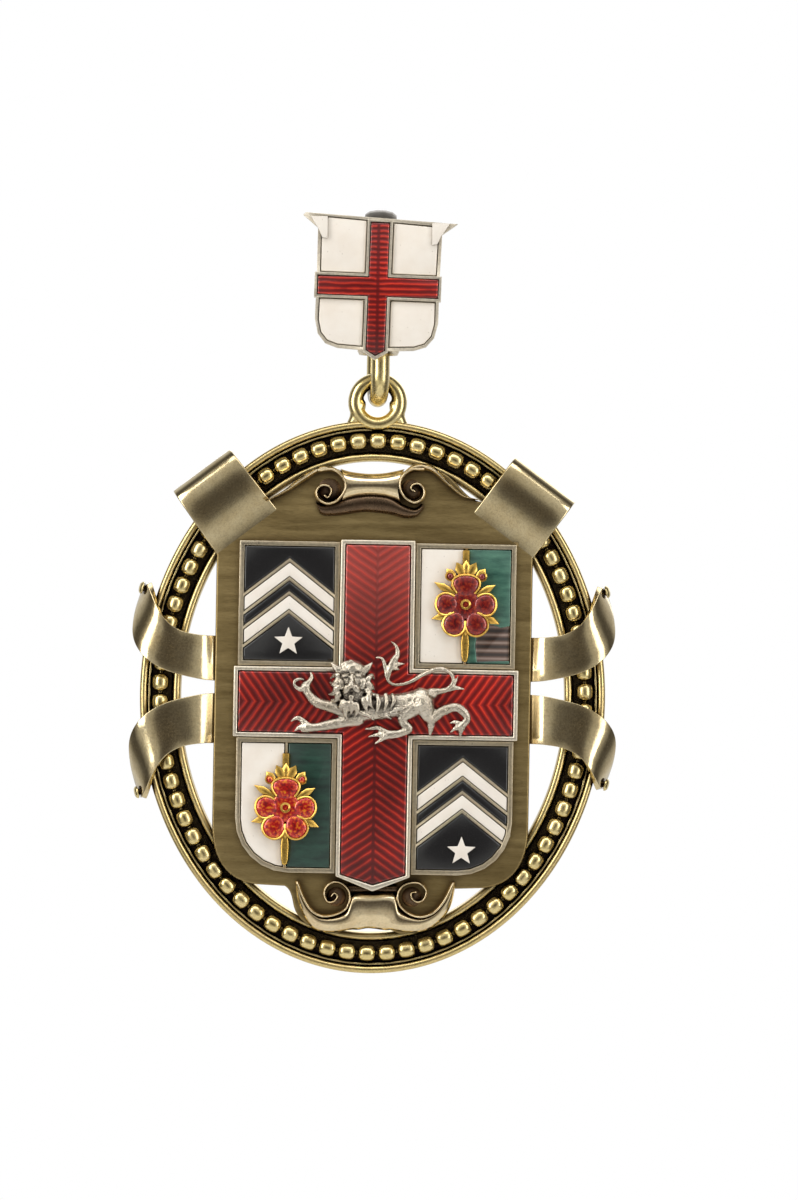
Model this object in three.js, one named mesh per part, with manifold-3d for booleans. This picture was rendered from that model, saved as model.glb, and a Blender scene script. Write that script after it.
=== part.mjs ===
import * as THREE from "three";
import { mergeVertices } from "three/addons/utils/BufferGeometryUtils.js";
import Module from "manifold-3d";

// Enamelled pendant badge on a small shield with a hook behind it. Millimetres.
// It is drawn facing the viewer: x to the right, y up and z towards the viewer, from the flat back of the
// oval frame. The group at the end turns it so that the front faces -Y, with the hook's bend at the origin.

const wasm = await Module();
wasm.setup();

// Running gap between pieces that are pinned or laid into each other, and between pieces that hang
const fit = 0.1;
const hangGap = 0.15;

// Oval frame
const ovalWidth = 55.9;
const ovalHeight = 66.4;
const bandWidth = 4.9;
const frameThickness = 2.7;
const channelDepth = 1.3;
const outerRim = 1.3;
const innerRim = 1.0;
const rimRound = 0.4;

// Beaded wire in the channel
const beadDiameter = 1.86;
const beadPitch = 2.4;
const neckDiameter = 0.8;
const beadSides = 10;
const ovalSides = 48;

// Eye on the frame, and the link through it
const eyeWire = 1.8;
const eyeHole = 3.5;
const eyeSink = 0.45;
const eyeFore = 2.0;
const eyeFootWidth = 6.7;
const linkWire = 2.2;
const linkHoleWidth = 3.4;
const linkHoleHeight = 5.4;
const linkTurn = THREE.MathUtils.degToRad(6);

// Staple behind the small shield
const stapleWire = 0.9;
const stapleInside = 3.1;
const stapleFore = 2.9;

// Small shield
const upperWidth = 14.8;
const upperHeight = 15.6;
const upperTipDrop = 1.3;
const earReach = 1.8;
const earDrop = 1.7;
const earSlope = 0.35;
const upperCorner = 2.6;
const upperBase = 0.6;
const upperRim = 0.35;
const upperRimHeight = 0.75;
const upperCrossBar = 3.0;
const upperCrossRise = 0.35;
const upperCrossWall = 0.3;
const upperCrossLow = 0.4;
const upperShieldLift = 3.05;
const upperLean = THREE.MathUtils.degToRad(1.3);

// Hook behind the small shield
const hookWidth = 3.8;
const hookThickness = 1.5;
const hookGap = 4.7;
const hookFrontLeg = 8.6;
const hookFreeLeg = 6.8;
const hookStand = 1.3;

// Cartouche plate. Its flange ends at the inside of the oval's band, and its wings a little short of it.
const plateWidth = 37.9;
const plateThickness = 1.1;
const wingShort = 1.0;
const wingRise = 3.7;
const flangeDrop = 5.6;
const wingTop = ovalHeight / 2 - bandWidth - wingShort;
const flangeBottom = ovalHeight / 2 - bandWidth;
const plateTop = wingTop - wingRise;
const plateBottom = flangeBottom - flangeDrop;
const plateCorner = 6.3;
const plateEdge = 0.3;
const rootCut = 6.3;
const wingHalf = 8.0;
const flangeHalf = 9.6;

// Ribbons soldered to the plate
const ribbonThickness = 0.8;
const ribbonSteps = 12;
const ribbonClear = 0.35;
const rivetHead = 1.5;
const rivetShank = 0.8;
const rivetRise = 0.45;

// Scrolls at the top and the bottom of the plate
const scrollBand = 0.5;
const scrollRise = 1.6;
const scrollTurns = 1.35;

// Main shield
const shieldWidth = 33.1;
const marginAbove = 5.1;
const marginBelow = 1.6;
const shieldTop = plateTop - marginAbove;
const shieldBottom = plateBottom - marginBelow;
const shieldCorner = 6.4;
const shieldShift = 0.4;
const shieldBase = 0.6;
const shieldRim = 0.55;
const shieldRimHeight = 0.85;
const enamelDip = 0.1;
const cloison = 0.3;

// Raised cross on the shield
const crossPale = 8.9;
const crossBar = 8.4;
const crossBarLow = 0.7;
const crossReach = 0.45;
const crossTop = 0.3;
const crossTip = 1.75;
const crossRise = 0.7;
const crossRim = 0.5;
const crossEnamel = 0.9;

// Height of a quarter above the cross, which the charges in the quarters are drawn to
const quarterHeight = shieldTop - crossBar / 2 + crossBarLow;

// Chevronels and stars in the black quarters
const chevronelWidth = 0.117 * quarterHeight;
const chevronelGap = 0.09 * quarterHeight;
const chevronelSlope = 0.78;
const chevronelDrop = 0.113 * quarterHeight;
const starRadius = 0.12 * quarterHeight;
const inlayRise = 0.25;

// Roses on the white and green quarters
const roseWidth = 0.507 * quarterHeight;
const roseHeight = 0.907 * quarterHeight;
const rosePetalRim = 0.28;
const roseBase = 0.45;
const roseRimHeight = 0.45;
const roseBoss = 1.5;
const roseStem = 0.8;

// Chip in the green enamel of the upper quarter
const chipWidth = 4.2;
const chipHeight = 4.4;
const chipDepth = 0.35;

// Lion on the cross
const lionLength = 21.4;
const lionLift = 0.6;

// Heights over the back of the frame, worked out from the sizes above
const channelFloor = frameThickness - channelDepth;
const beadFore = channelFloor + fit + beadDiameter / 2;
const beadFront = beadFore + beadDiameter / 2;
const plateBack = frameThickness + fit;
const plateFront = plateBack + plateThickness;
const shieldBack = plateFront + fit;
const shieldFloor = shieldBack + shieldBase;
const shieldFront = shieldFloor + shieldRimHeight;
const enamelFront = shieldFront - enamelDip;
const crossBack = shieldFloor + fit;
const crossFront = shieldFront + crossRise;
const crossFloor = crossFront - crossEnamel;

// Half axes of the middle line of the channel
const bandX = (ovalWidth - bandWidth) / 2;
const bandY = (ovalHeight - bandWidth) / 2;
const channelLine = new THREE.EllipseCurve(0, 0, bandX, bandY, 0, 2 * Math.PI);
const beadCount = Math.round(channelLine.getLength() / beadPitch);

// Places up the chain of hanging pieces, from the oval upwards
const eyeRadius = (eyeHole + eyeWire) / 2;
const eyeY = ovalHeight / 2 - eyeSink + eyeHole / 2 + eyeWire / 2;
const linkHoleBottom = eyeY + eyeHole / 2 - hangGap;
const linkHoleTop = linkHoleBottom + linkHoleHeight;
const stapleAside = stapleFore - eyeFore;
const stapleSwing = linkHoleWidth / 2 - hangGap - stapleWire / 2;
const stapleRise = Math.sqrt(Math.max(stapleSwing ** 2 - stapleAside ** 2, 0));
const stapleY = linkHoleTop - linkHoleWidth / 2 + stapleRise;
const upperBottomY = stapleY + hangGap;
const upperTopY = upperBottomY + upperHeight;
const upperBack = stapleFore + upperShieldLift + stapleWire;
const hookLegFore = upperBack - fit - hookThickness / 2;
const hookBend = (hookGap + hookThickness) / 2;
const hookCrestY = upperTopY + hookStand - hookThickness;
const hangFore = hookLegFore - hookBend;

// A closed geometry as a solid that can be joined and cut
function toSolid(geometry) {
  const bare = geometry.index ? geometry.toNonIndexed() : geometry.clone();
  bare.deleteAttribute("normal");
  bare.deleteAttribute("uv");
  const merged = mergeVertices(bare, 1e-4);
  const index = merged.index.array;
  const kept = [];
  for (let i = 0; i < index.length; i += 3) {
    const [a, b, c] = [index[i], index[i + 1], index[i + 2]];
    if (a !== b && b !== c && c !== a) kept.push(a, b, c);
  }
  const mesh = new wasm.Mesh({
    numProp: 3,
    vertProperties: merged.attributes.position.array,
    triVerts: Uint32Array.from(kept),
  });
  return new wasm.Manifold(mesh);
}

function toGeometry(solid) {
  const mesh = solid.getMesh();
  const geometry = new THREE.BufferGeometry();
  geometry.setAttribute("position", new THREE.BufferAttribute(mesh.vertProperties, 3));
  geometry.setIndex(new THREE.BufferAttribute(mesh.triVerts, 1));
  const flat = geometry.toNonIndexed();
  flat.computeVertexNormals();
  return flat;
}

function joined(solids) {
  return solids.reduce((whole, next) => whole.add(next));
}

// Moves each vertex of a geometry to where place(vertex) says
function bent(geometry, place) {
  const position = geometry.attributes.position;
  const vertex = new THREE.Vector3();
  for (let i = 0; i < position.count; i += 1) {
    const moved = place(vertex.fromBufferAttribute(position, i));
    position.setXYZ(i, moved.x, moved.y, moved.z);
  }
  return geometry;
}

// A flat outline given a thickness from back to front, with an optional softened front edge
function slab(shape, back, front, edge = 0) {
  const geometry = new THREE.ExtrudeGeometry(shape, {
    depth: front - back - 2 * edge,
    curveSegments: 3,
    bevelEnabled: edge > 0,
    bevelThickness: edge,
    bevelSize: edge,
    bevelOffset: -edge,
    bevelSegments: 1,
  });
  geometry.translate(0, 0, back + edge);
  return toSolid(geometry);
}

function polygon(points) {
  return new THREE.Shape(points.map(([x, y]) => new THREE.Vector2(x, y)));
}

function block(x0, y0, z0, x1, y1, z1) {
  const box = new THREE.BoxGeometry(x1 - x0, y1 - y0, z1 - z0);
  return toSolid(box.translate((x0 + x1) / 2, (y0 + y1) / 2, (z0 + z1) / 2));
}

// A round bar between two points
function bar(from, to, radius, sides) {
  const axis = new THREE.Vector3().subVectors(to, from);
  const geometry = new THREE.CylinderGeometry(radius, radius, axis.length(), sides);
  const upright = new THREE.Vector3(0, 1, 0);
  const turn = new THREE.Quaternion().setFromUnitVectors(upright, axis.clone().normalize());
  geometry.applyQuaternion(turn);
  return toSolid(geometry.translate(...axis.multiplyScalar(0.5).add(from).toArray()));
}

// A limb or wire of changing thickness: rows of x, y, z and radius along a smooth curve
function limb(rows, sides, steps) {
  const curve = new THREE.CatmullRomCurve3(rows.map(([x, y, z]) => new THREE.Vector3(x, y, z)));
  const frames = curve.computeFrenetFrames(steps);
  const radiusAt = (share) => {
    const at = Math.min(share * (rows.length - 1), rows.length - 1.000001);
    const row = Math.floor(at);
    return THREE.MathUtils.lerp(rows[row][3], rows[row + 1][3], at - row);
  };
  return toSolid(
    bent(new THREE.CylinderGeometry(1, 1, 1, sides, steps), (v) => {
      const share = 0.5 - v.y;
      const frame = Math.round(share * steps);
      const centre = curve.getPointAt(share);
      const radius = radiusAt(curve.getUtoTmapping(share));
      return centre
        .addScaledVector(frames.normals[frame], radius * v.x)
        .addScaledVector(frames.binormals[frame], radius * v.z);
    }),
  );
}

// A point off the middle line of the channel, outwards and forwards
function offChannel(share, out, fore) {
  const at = ((share % 1) + 1) % 1;
  const point = channelLine.getPointAt(at);
  const along = channelLine.getTangentAt(at);
  return new THREE.Vector3(point.x + along.y * out, point.y - along.x * out, fore);
}

// Oval frame: the channel's section carried round the oval, with the eye soldered on top
function ovalFrame() {
  const half = bandWidth / 2;
  const section = [
    [-half + rimRound, 0],
    [half - rimRound, 0],
    [half, rimRound],
    [half, frameThickness - rimRound],
    [half - rimRound, frameThickness],
    [half - outerRim + rimRound, frameThickness],
    [half - outerRim, frameThickness - rimRound],
    [half - outerRim, channelFloor],
    [-half + innerRim, channelFloor],
    [-half + innerRim, frameThickness - rimRound],
    [-half + innerRim / 2, frameThickness],
    [-half, frameThickness - rimRound],
    [-half, rimRound],
  ];
  const reach = 2 * bandWidth;
  const profile = [...section, section[0]].map(([out, fore]) => new THREE.Vector2(reach + out, fore));
  const channel = bent(new THREE.LatheGeometry(profile, ovalSides), (v) => {
    const share = Math.atan2(v.x, v.z) / (2 * Math.PI);
    return offChannel(share, Math.hypot(v.x, v.z) - reach, v.y);
  });
  const ring = new THREE.TorusGeometry(eyeRadius, eyeWire / 2, 8, 20).translate(0, eyeY, eyeFore);
  const footY = ovalHeight / 2 - outerRim / 2;
  const foot = polygon([
    [-eyeFootWidth / 2, footY],
    [eyeFootWidth / 2, footY],
    [eyeFootWidth / 2 - 0.5 * eyeWire / 2, footY + 0.6 * eyeRadius],
    [eyeRadius, eyeY],
    [-eyeRadius, eyeY],
    [-eyeFootWidth / 2 + 0.5 * eyeWire / 2, footY + 0.6 * eyeRadius],
  ]);
  const footBack = Math.max(eyeFore - eyeWire / 2, rimRound);
  const footSolid = slab(foot, footBack, Math.min(eyeFore + eyeWire / 2, frameThickness), 0.2);
  const hole = bar(
    new THREE.Vector3(0, eyeY, -frameThickness),
    new THREE.Vector3(0, eyeY, 2 * frameThickness),
    eyeHole / 2 + 0.15 * eyeWire,
    20,
  );
  return joined([toSolid(channel), footSolid.subtract(hole), toSolid(ring)]);
}

// Beaded wire: rows of place along one bead and of its thickness there, as shares of pitch and diameter
const beadStations = [
  { along: 0, thick: neckDiameter / beadDiameter },
  { along: 0.24, thick: 1 },
  { along: 0.76, thick: 1 },
];

function beadedWire() {
  const perBead = beadStations.length;
  const steps = beadCount * perBead;
  const torus = new THREE.TorusGeometry(2, 1, beadSides, steps);
  return toSolid(
    bent(torus, (v) => {
      const turn = Math.atan2(v.y, v.x) / (2 * Math.PI);
      const step = (Math.round(turn * steps) + steps) % steps;
      const bead = Math.floor(step / perBead);
      const station = beadStations[step % perBead];
      const radius = (beadDiameter / 2) * station.thick;
      const out = (Math.hypot(v.x, v.y) - 2) * radius;
      return offChannel((bead + station.along) / beadCount, out, beadFore + v.z * radius);
    }),
  );
}

// Outline of the cartouche plate, worked up one side and mirrored on the other
function plateOutline() {
  const half = plateWidth / 2;
  const shape = new THREE.Shape();
  const bottom = -plateBottom;
  const lobe = 0.38 * flangeHalf;
  shape.moveTo(0, -flangeBottom + 1.0);
  shape.quadraticCurveTo(0.5 * lobe, -flangeBottom + 0.9, lobe, -flangeBottom);
  shape.bezierCurveTo(
    1.7 * lobe, -flangeBottom - 0.1,
    flangeHalf - 0.8, -flangeBottom + 1.2,
    flangeHalf - 0.5, bottom - 0.36 * flangeDrop,
  );
  shape.lineTo(flangeHalf, bottom - 0.2);
  shape.lineTo(half - plateCorner, bottom);
  shape.bezierCurveTo(
    half - 0.4 * plateCorner, bottom,
    half, bottom + 0.35 * plateCorner,
    half, bottom + 1.15 * plateCorner,
  );
  shape.lineTo(half, plateTop - rootCut);
  shape.lineTo(half - rootCut, plateTop);
  shape.bezierCurveTo(wingHalf + 2.2, plateTop + 0.4, wingHalf + 1.6, wingTop - 0.4, wingHalf - 0.8, wingTop);
  shape.quadraticCurveTo(0.55 * wingHalf, wingTop + 0.2, 0.42 * wingHalf, wingTop - 0.6);
  shape.quadraticCurveTo(0.2 * wingHalf, wingTop - 0.9, 0, wingTop - 0.9);
  const right = shape.getPoints(3);
  const left = right.slice(1, -1).map((p) => new THREE.Vector2(-p.x, p.y)).reverse();
  return new THREE.Shape([...right, ...left]);
}

// A ribbon as a strip between two edges. Each row gives a point of either edge; the strip is a subdivided box
// bent along smooth curves through those points.
function strip(rows, thickness) {
  const edge = (k) => new THREE.CatmullRomCurve3(rows.map((row) => row[k]), false, "centripetal");
  const [inner, outer] = [edge(0), edge(1)];
  const middle = (t) => inner.getPoint(t).add(outer.getPoint(t)).multiplyScalar(0.5);
  const normalAt = (t) => {
    const ahead = middle(Math.min(t + 0.01, 1)).sub(middle(Math.max(t - 0.01, 0)));
    const across = outer.getPoint(t).sub(inner.getPoint(t));
    return ahead.cross(across).normalize();
  };
  const box = new THREE.BoxGeometry(1, 1, 1, ribbonSteps, 1, 1);
  const made = toSolid(
    bent(box, (v) => {
      const t = v.x + 0.5;
      const point = inner.getPoint(t).lerp(outer.getPoint(t), v.y + 0.5);
      return point.addScaledVector(normalAt(t), v.z * thickness);
    }),
  );
  return { made, normalAt, middle };
}

// Depth of a ribbon's middle: share 1 lies just over the beads, share 0 just behind the frame
const ribbonCrest = beadFront + ribbonClear + ribbonThickness / 2;
const ribbonBehind = -ribbonClear - ribbonThickness / 2;
const ribbonFore = (share) => THREE.MathUtils.lerp(ribbonBehind, ribbonCrest, share);
const plateShare = (plateBack + plateThickness / 2 - ribbonBehind) / (ribbonCrest - ribbonBehind);

// Side ribbons: where each leaves the plate, its width, how far it laps over the edge of the oval, and how
// high its tip climbs
const sideSpan = (ovalWidth - plateWidth) / 2;
const sideRibbons = [
  { side: -1, up: 1, root: 4.35, width: 5.4, lap: 0.75, climb: 8.8 },
  { side: 1, up: 1, root: 4.8, width: 5.3, lap: 0.8, climb: 8.8 },
  { side: -1, up: -1, root: -2.85, width: 6.0, lap: 0.95, climb: 9.7 },
  { side: 1, up: -1, root: -2.35, width: 5.9, lap: 1.1, climb: 8.2 },
];

// Sections of a side ribbon. Columns: how far out the inner and the outer edge lie, as shares of the reach;
// how far each has climbed from its own start to the tip; and the depth of each, from behind to crest.
const sideSections = [
  { outIn: -0.2, outOut: -0.2, upIn: 0, upOut: 0, foreIn: plateShare, foreOut: plateShare },
  { outIn: 0.04, outOut: 0.06, upIn: 0, upOut: 0, foreIn: 0.92, foreOut: 0.92 },
  { outIn: 0.2, outOut: 0.31, upIn: 0.01, upOut: 0.03, foreIn: 1.0, foreOut: 1.0 },
  { outIn: 0.38, outOut: 0.56, upIn: 0.07, upOut: 0.09, foreIn: 1.06, foreOut: 1.08 },
  { outIn: 0.54, outOut: 0.79, upIn: 0.2, upOut: 0.19, foreIn: 1.1, foreOut: 1.06 },
  { outIn: 0.645, outOut: 0.93, upIn: 0.38, upOut: 0.31, foreIn: 1.09, foreOut: 0.93 },
  { outIn: 0.71, outOut: 1.0, upIn: 0.57, upOut: 0.46, foreIn: 1.04, foreOut: 0.7 },
  { outIn: 0.76, outOut: 0.99, upIn: 0.76, upOut: 0.66, foreIn: 0.95, foreOut: 0.42 },
  { outIn: 0.8, outOut: 0.93, upIn: 0.91, upOut: 0.86, foreIn: 0.86, foreOut: 0.2 },
  { outIn: 0.83, outOut: 0.86, upIn: 1.0, upOut: 1.0, foreIn: 0.8, foreOut: 0.12 },
];

function sideRibbon({ side, up, root, width, lap, climb }) {
  const reach = sideSpan + lap;
  const edgePoint = (out, share, start, fore) =>
    new THREE.Vector3(
      side * (plateWidth / 2 + out * reach),
      root + up * THREE.MathUtils.lerp(start, climb, share),
      ribbonFore(fore),
    );
  const rows = sideSections.map((s) => [
    edgePoint(s.outIn, s.upIn, width / 2, s.foreIn),
    edgePoint(s.outOut, s.upOut, -width / 2, s.foreOut),
  ]);
  const whole = side * up > 0 ? rows : rows.map(([a, b]) => [b, a]);
  return strip(whole, ribbonThickness);
}

// Upper ribbons, from the cut corners of the plate: direction, width, and how far each laps over the oval
const upperRibbons = [
  { side: -1, lean: 52.5, width: 8.5, flare: 1.06, lap: 2.865, shift: 0.2 },
  { side: 1, lean: 54, width: 9.0, flare: 1.0, lap: 2.124, shift: 0.1 },
];

// Sections of an upper ribbon: place along the reach, and depth as a share from behind to crest
const upperSections = [
  { along: -0.35, fore: plateShare },
  { along: 0.0, fore: 0.92 },
  { along: 0.3, fore: 1.06 },
  { along: 0.62, fore: 1.1 },
  { along: 0.88, fore: 1.02 },
  { along: 0.99, fore: 0.8 },
  { along: 1.0, fore: 0.42 },
  { along: 0.93, fore: 0.1 },
  { along: 0.75, fore: -0.02 },
  { along: 0.45, fore: -0.03 },
];

// Distance from a point inside the oval to the oval's outer edge, in a direction
function toOvalEdge(from, along) {
  const half = new THREE.Vector2(ovalWidth / 2, ovalHeight / 2);
  const start = from.clone().divide(half);
  const way = along.clone().divide(half);
  const a = way.lengthSq();
  const b = start.dot(way);
  return (Math.sqrt(b * b - a * (start.lengthSq() - 1)) - b) / a;
}

function upperRibbon({ side, lean, width, flare, lap, shift }) {
  const angle = THREE.MathUtils.degToRad(lean);
  const along = new THREE.Vector2(side * Math.cos(angle), Math.sin(angle));
  const across = new THREE.Vector2(-along.y, along.x).multiplyScalar(-side);
  const start = new THREE.Vector2(side * (plateWidth / 2 - rootCut / 2), plateTop - rootCut / 2);
  start.addScaledVector(across, shift);
  const reach = toOvalEdge(start, along) + lap;
  const rows = upperSections.map((s) => {
    const wide = (width / 2) * THREE.MathUtils.lerp(flare, 1, THREE.MathUtils.clamp(s.along, 0, 1));
    const at = start.clone().addScaledVector(along, s.along * reach);
    return [-side, side].map((way) => {
      const edge = at.clone().addScaledVector(across, way * wide);
      return new THREE.Vector3(edge.x, edge.y, ribbonFore(s.fore));
    });
  });
  return strip(rows, ribbonThickness);
}

// Scrolls. Columns: up or down, the plate's edge and half width there, and the volutes' radius; how far out
// the volutes lie, as shares of the half width; and, as shares of the radius, how far the volutes and the bar
// lie inside the edge, and the bar's half height at its ends and at its waist.
const scrolls = [
  { way: 1, edge: wingTop, half: wingHalf, radius: 1.85, left: -0.7, right: 0.575,
    leftIn: 1.135, rightIn: 1.027, barIn: 0.73, bar: 0.703, waist: 0.514 },
  { way: -1, edge: flangeBottom, half: flangeHalf, radius: 2.3, left: -0.49, right: 0.552,
    leftIn: 1.913, rightIn: 2.0, barIn: 1.565, bar: 0.674, waist: 0.522 },
];

function volute([x, y], radius, side, way) {
  const spiral = (t) => {
    const angle = way * side * (t * scrollTurns * 2 * Math.PI) + way * Math.PI / 2;
    const reach = (radius - scrollBand / 2) * (1 - 0.72 * t);
    return new THREE.Vector2(x + reach * Math.cos(angle), y + reach * Math.sin(angle));
  };
  const steps = 11;
  const band = bent(new THREE.BoxGeometry(1, 1, 1, steps, 1, 1), (v) => {
    const t = v.x + 0.5;
    const at = spiral(t);
    const next = spiral(t + 0.01).sub(spiral(t - 0.01)).normalize();
    const out = new THREE.Vector2(-next.y, next.x).multiplyScalar(v.y * scrollBand);
    const front = plateFront + scrollRise * (0.75 + 0.25 * t);
    return new THREE.Vector3(at.x + out.x, at.y + out.y, v.z > 0 ? front : plateFront - 0.3);
  });
  const disc = new THREE.CylinderGeometry(0.9 * radius, radius, 0.5 * scrollRise + 0.3, 12);
  disc.rotateX(Math.PI / 2).translate(x, y, plateFront + 0.25 * scrollRise - 0.15);
  return [toSolid(band), toSolid(disc)];
}

function scroll(row) {
  const { way, radius } = row;
  const heightAt = (inside) => way * (row.edge - inside * radius);
  const left = [row.left * row.half, heightAt(row.leftIn)];
  const right = [row.right * row.half, heightAt(row.rightIn)];
  const middle = (left[0] + right[0]) / 2;
  const half = (right[0] - left[0]) / 2 - 0.5 * radius;
  const rows = [-1, -0.66, -0.33, 0, 0.33, 0.66, 1];
  const thick = (s) => radius * THREE.MathUtils.lerp(row.waist, row.bar, s * s);
  const profile = rows.map((s) => new THREE.Vector2(thick(s), s * half));
  const closed = [new THREE.Vector2(0, -half), ...profile, new THREE.Vector2(0, half)];
  const roll = new THREE.LatheGeometry(closed, 10).rotateZ(-Math.PI / 2);
  roll.translate(middle, heightAt(row.barIn), plateFront + 0.3);
  const parts = [toSolid(roll), ...volute(left, radius, -1, way), ...volute(right, radius, 1, way)];
  return joined(parts);
}

const sideStrips = sideRibbons.map(sideRibbon);
const rivetShare = 0.93;

// Line of a rivet through the end of a side ribbon, pointing away from the frame
function rivetLine({ normalAt, middle }) {
  const centre = middle(rivetShare);
  const out = normalAt(rivetShare);
  if (out.x * centre.x < 0) out.negate();
  return { centre, out };
}

function cartouche() {
  const plate = slab(plateOutline(), plateBack, plateFront, plateEdge);
  const parts = [
    plate,
    ...sideStrips.map((s) => s.made),
    ...upperRibbons.map((r) => upperRibbon(r).made),
    ...scrolls.map(scroll),
  ];
  const holes = sideStrips.map((s) => {
    const { centre, out } = rivetLine(s);
    const from = centre.clone().addScaledVector(out, -ribbonThickness);
    return bar(from, centre.clone().addScaledVector(out, ribbonThickness), rivetShank / 2 + fit, 12);
  });
  return joined(parts).subtract(joined(holes));
}

function ribbonRivet(s) {
  const { centre, out } = rivetLine(s);
  const at = (distance) => centre.clone().addScaledVector(out, distance);
  const seat = ribbonThickness / 2 + 1.5 * fit;
  const shank = bar(at(-ribbonThickness / 2), at(seat + rivetRise / 2), rivetShank / 2, 12);
  const dome = new THREE.LatheGeometry(
    [
      [0, 0],
      [rivetHead / 2, 0],
      [rivetHead / 2, 0.4 * rivetRise],
      [0.33 * rivetHead, 0.85 * rivetRise],
      [0, rivetRise],
    ].map(([x, y]) => new THREE.Vector2(x, y)),
    12,
  );
  dome.applyQuaternion(new THREE.Quaternion().setFromUnitVectors(new THREE.Vector3(0, 1, 0), out));
  return joined([shank, toSolid(dome.translate(...at(seat).toArray()))]);
}

// Link: a wire ring bent to an upright oval, turned a little, through the eye and the staple
function suspensionLink() {
  const bend = (linkHoleWidth + linkWire) / 2;
  const straight = (linkHoleHeight - linkHoleWidth) / 2;
  const ring = bent(new THREE.TorusGeometry(bend, linkWire / 2, 8, 20), (v) => {
    const stretched = v.y >= 0 ? straight : -straight;
    return new THREE.Vector3(v.x, v.y + (Math.abs(v.y) < 1e-6 ? 0 : stretched), v.z);
  });
  ring.rotateY(-Math.PI / 2 + linkTurn);
  return toSolid(ring.translate(0, (linkHoleBottom + linkHoleTop) / 2, eyeFore));
}

// Small shield outline, drawn in by inset
function upperOutline(inset) {
  const half = upperWidth / 2 - inset;
  const top = upperTopY - inset;
  const corner = upperCorner - inset;
  const bottom = upperBottomY + inset;
  const earX = half + earReach - 5 * inset;
  const neckY = top - earDrop + inset;
  const shape = new THREE.Shape();
  shape.moveTo(0, bottom - 0.25);
  shape.lineTo(half - 1.1 * corner, bottom);
  shape.quadraticCurveTo(half - 0.1 * corner, bottom + 0.1 * corner, half - 0.05, bottom + 1.3 * corner);
  shape.quadraticCurveTo(half - 0.15, bottom + 0.6 * upperHeight, half, neckY);
  shape.lineTo(earX, top - earSlope + 0.4 * inset);
  shape.lineTo(earX - 0.3, top - earSlope);
  shape.lineTo(-earX + 0.3, top + earSlope);
  shape.lineTo(-earX, top + earSlope - 0.3);
  shape.lineTo(-half, neckY + 0.3);
  shape.quadraticCurveTo(-half + 0.15, bottom + 0.6 * upperHeight, -half + 0.05, bottom + 1.3 * corner);
  shape.quadraticCurveTo(-half + 0.1 * corner, bottom + 0.1 * corner, -half + 1.1 * corner, bottom);
  return shape;
}

// Cross of the small shield, with a pointed foot, drawn in by inset
function upperCrossOutline(inset) {
  const arm = upperCrossBar / 2 - inset;
  const end = upperWidth / 2 + 0.15 - inset;
  const barY = upperBottomY + upperHeight / 2 - upperCrossLow;
  const top = upperTopY - 0.5 * upperRim - inset;
  const foot = upperBottomY - 0.3 + 0.4 * inset;
  return polygon([
    [0, upperBottomY - upperTipDrop + 1.4 * inset],
    [arm, foot],
    [arm, barY - arm],
    [end, barY - arm],
    [end, barY + arm],
    [arm, barY + arm],
    [arm, top],
    [-arm, top],
    [-arm, barY + arm],
    [-end, barY + arm],
    [-end, barY - arm],
    [-arm, barY - arm],
    [-arm, foot],
  ]);
}

const upperFloor = upperBack + upperBase;
const upperFront = upperFloor + upperRimHeight;
const upperCrossFront = upperFront + upperCrossRise;

// The small shield leans a little about the hook's bend
function leaned(solid) {
  const geometry = toGeometry(solid);
  geometry.translate(0, -hookCrestY, 0).rotateZ(-upperLean).translate(0, hookCrestY, 0);
  return toSolid(geometry);
}

function upperShield() {
  const base = slab(upperOutline(0), upperBack, upperFloor);
  const rim = slab(upperOutline(0), upperFloor - fit, upperFront).subtract(
    slab(upperOutline(upperRim), upperFloor, upperFront + 1),
  );
  const cross = slab(upperCrossOutline(0), upperBack, upperCrossFront);
  const hollow = slab(upperCrossOutline(upperCrossWall), upperFloor, upperCrossFront + 1);
  const legX = (stapleInside + stapleWire) / 2;
  const left = [
    [-legX, upperBack + upperBase / 2],
    [-legX, stapleFore + 1.2 * stapleWire],
    [-legX + 0.4 * stapleWire, stapleFore + 0.3 * stapleWire],
    [-legX + 1.2 * stapleWire, stapleFore],
  ];
  const right = left.map(([x, z]) => [-x, z]).reverse();
  const staple = limb([...left, ...right].map(([x, z]) => [x, stapleY, z, stapleWire / 2]), 6, 12);
  const tray = joined([base, rim, cross]).subtract(hollow);
  return leaned(tray).add(staple);
}

function upperCrossEnamel() {
  const inset = upperCrossWall + fit;
  return leaned(slab(upperCrossOutline(inset), upperFloor + fit, upperCrossFront - enamelDip));
}

// White enamel left between the rim and the cross, one piece in each corner
function upperWhiteEnamel(side, level) {
  const cell = slab(upperOutline(upperRim + fit), upperFloor + fit, upperFront - enamelDip);
  const crossed = slab(upperCrossOutline(-fit), upperBack, upperCrossFront + 1);
  const barY = upperBottomY + upperHeight / 2 - upperCrossLow;
  const far = 2 * upperHeight;
  const quarter = block(
    Math.min(0, side * far),
    barY + Math.min(0, level * far),
    upperBack,
    Math.max(0, side * far),
    barY + Math.max(0, level * far),
    upperCrossFront,
  );
  return leaned(cell.intersect(quarter).subtract(crossed));
}

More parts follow.
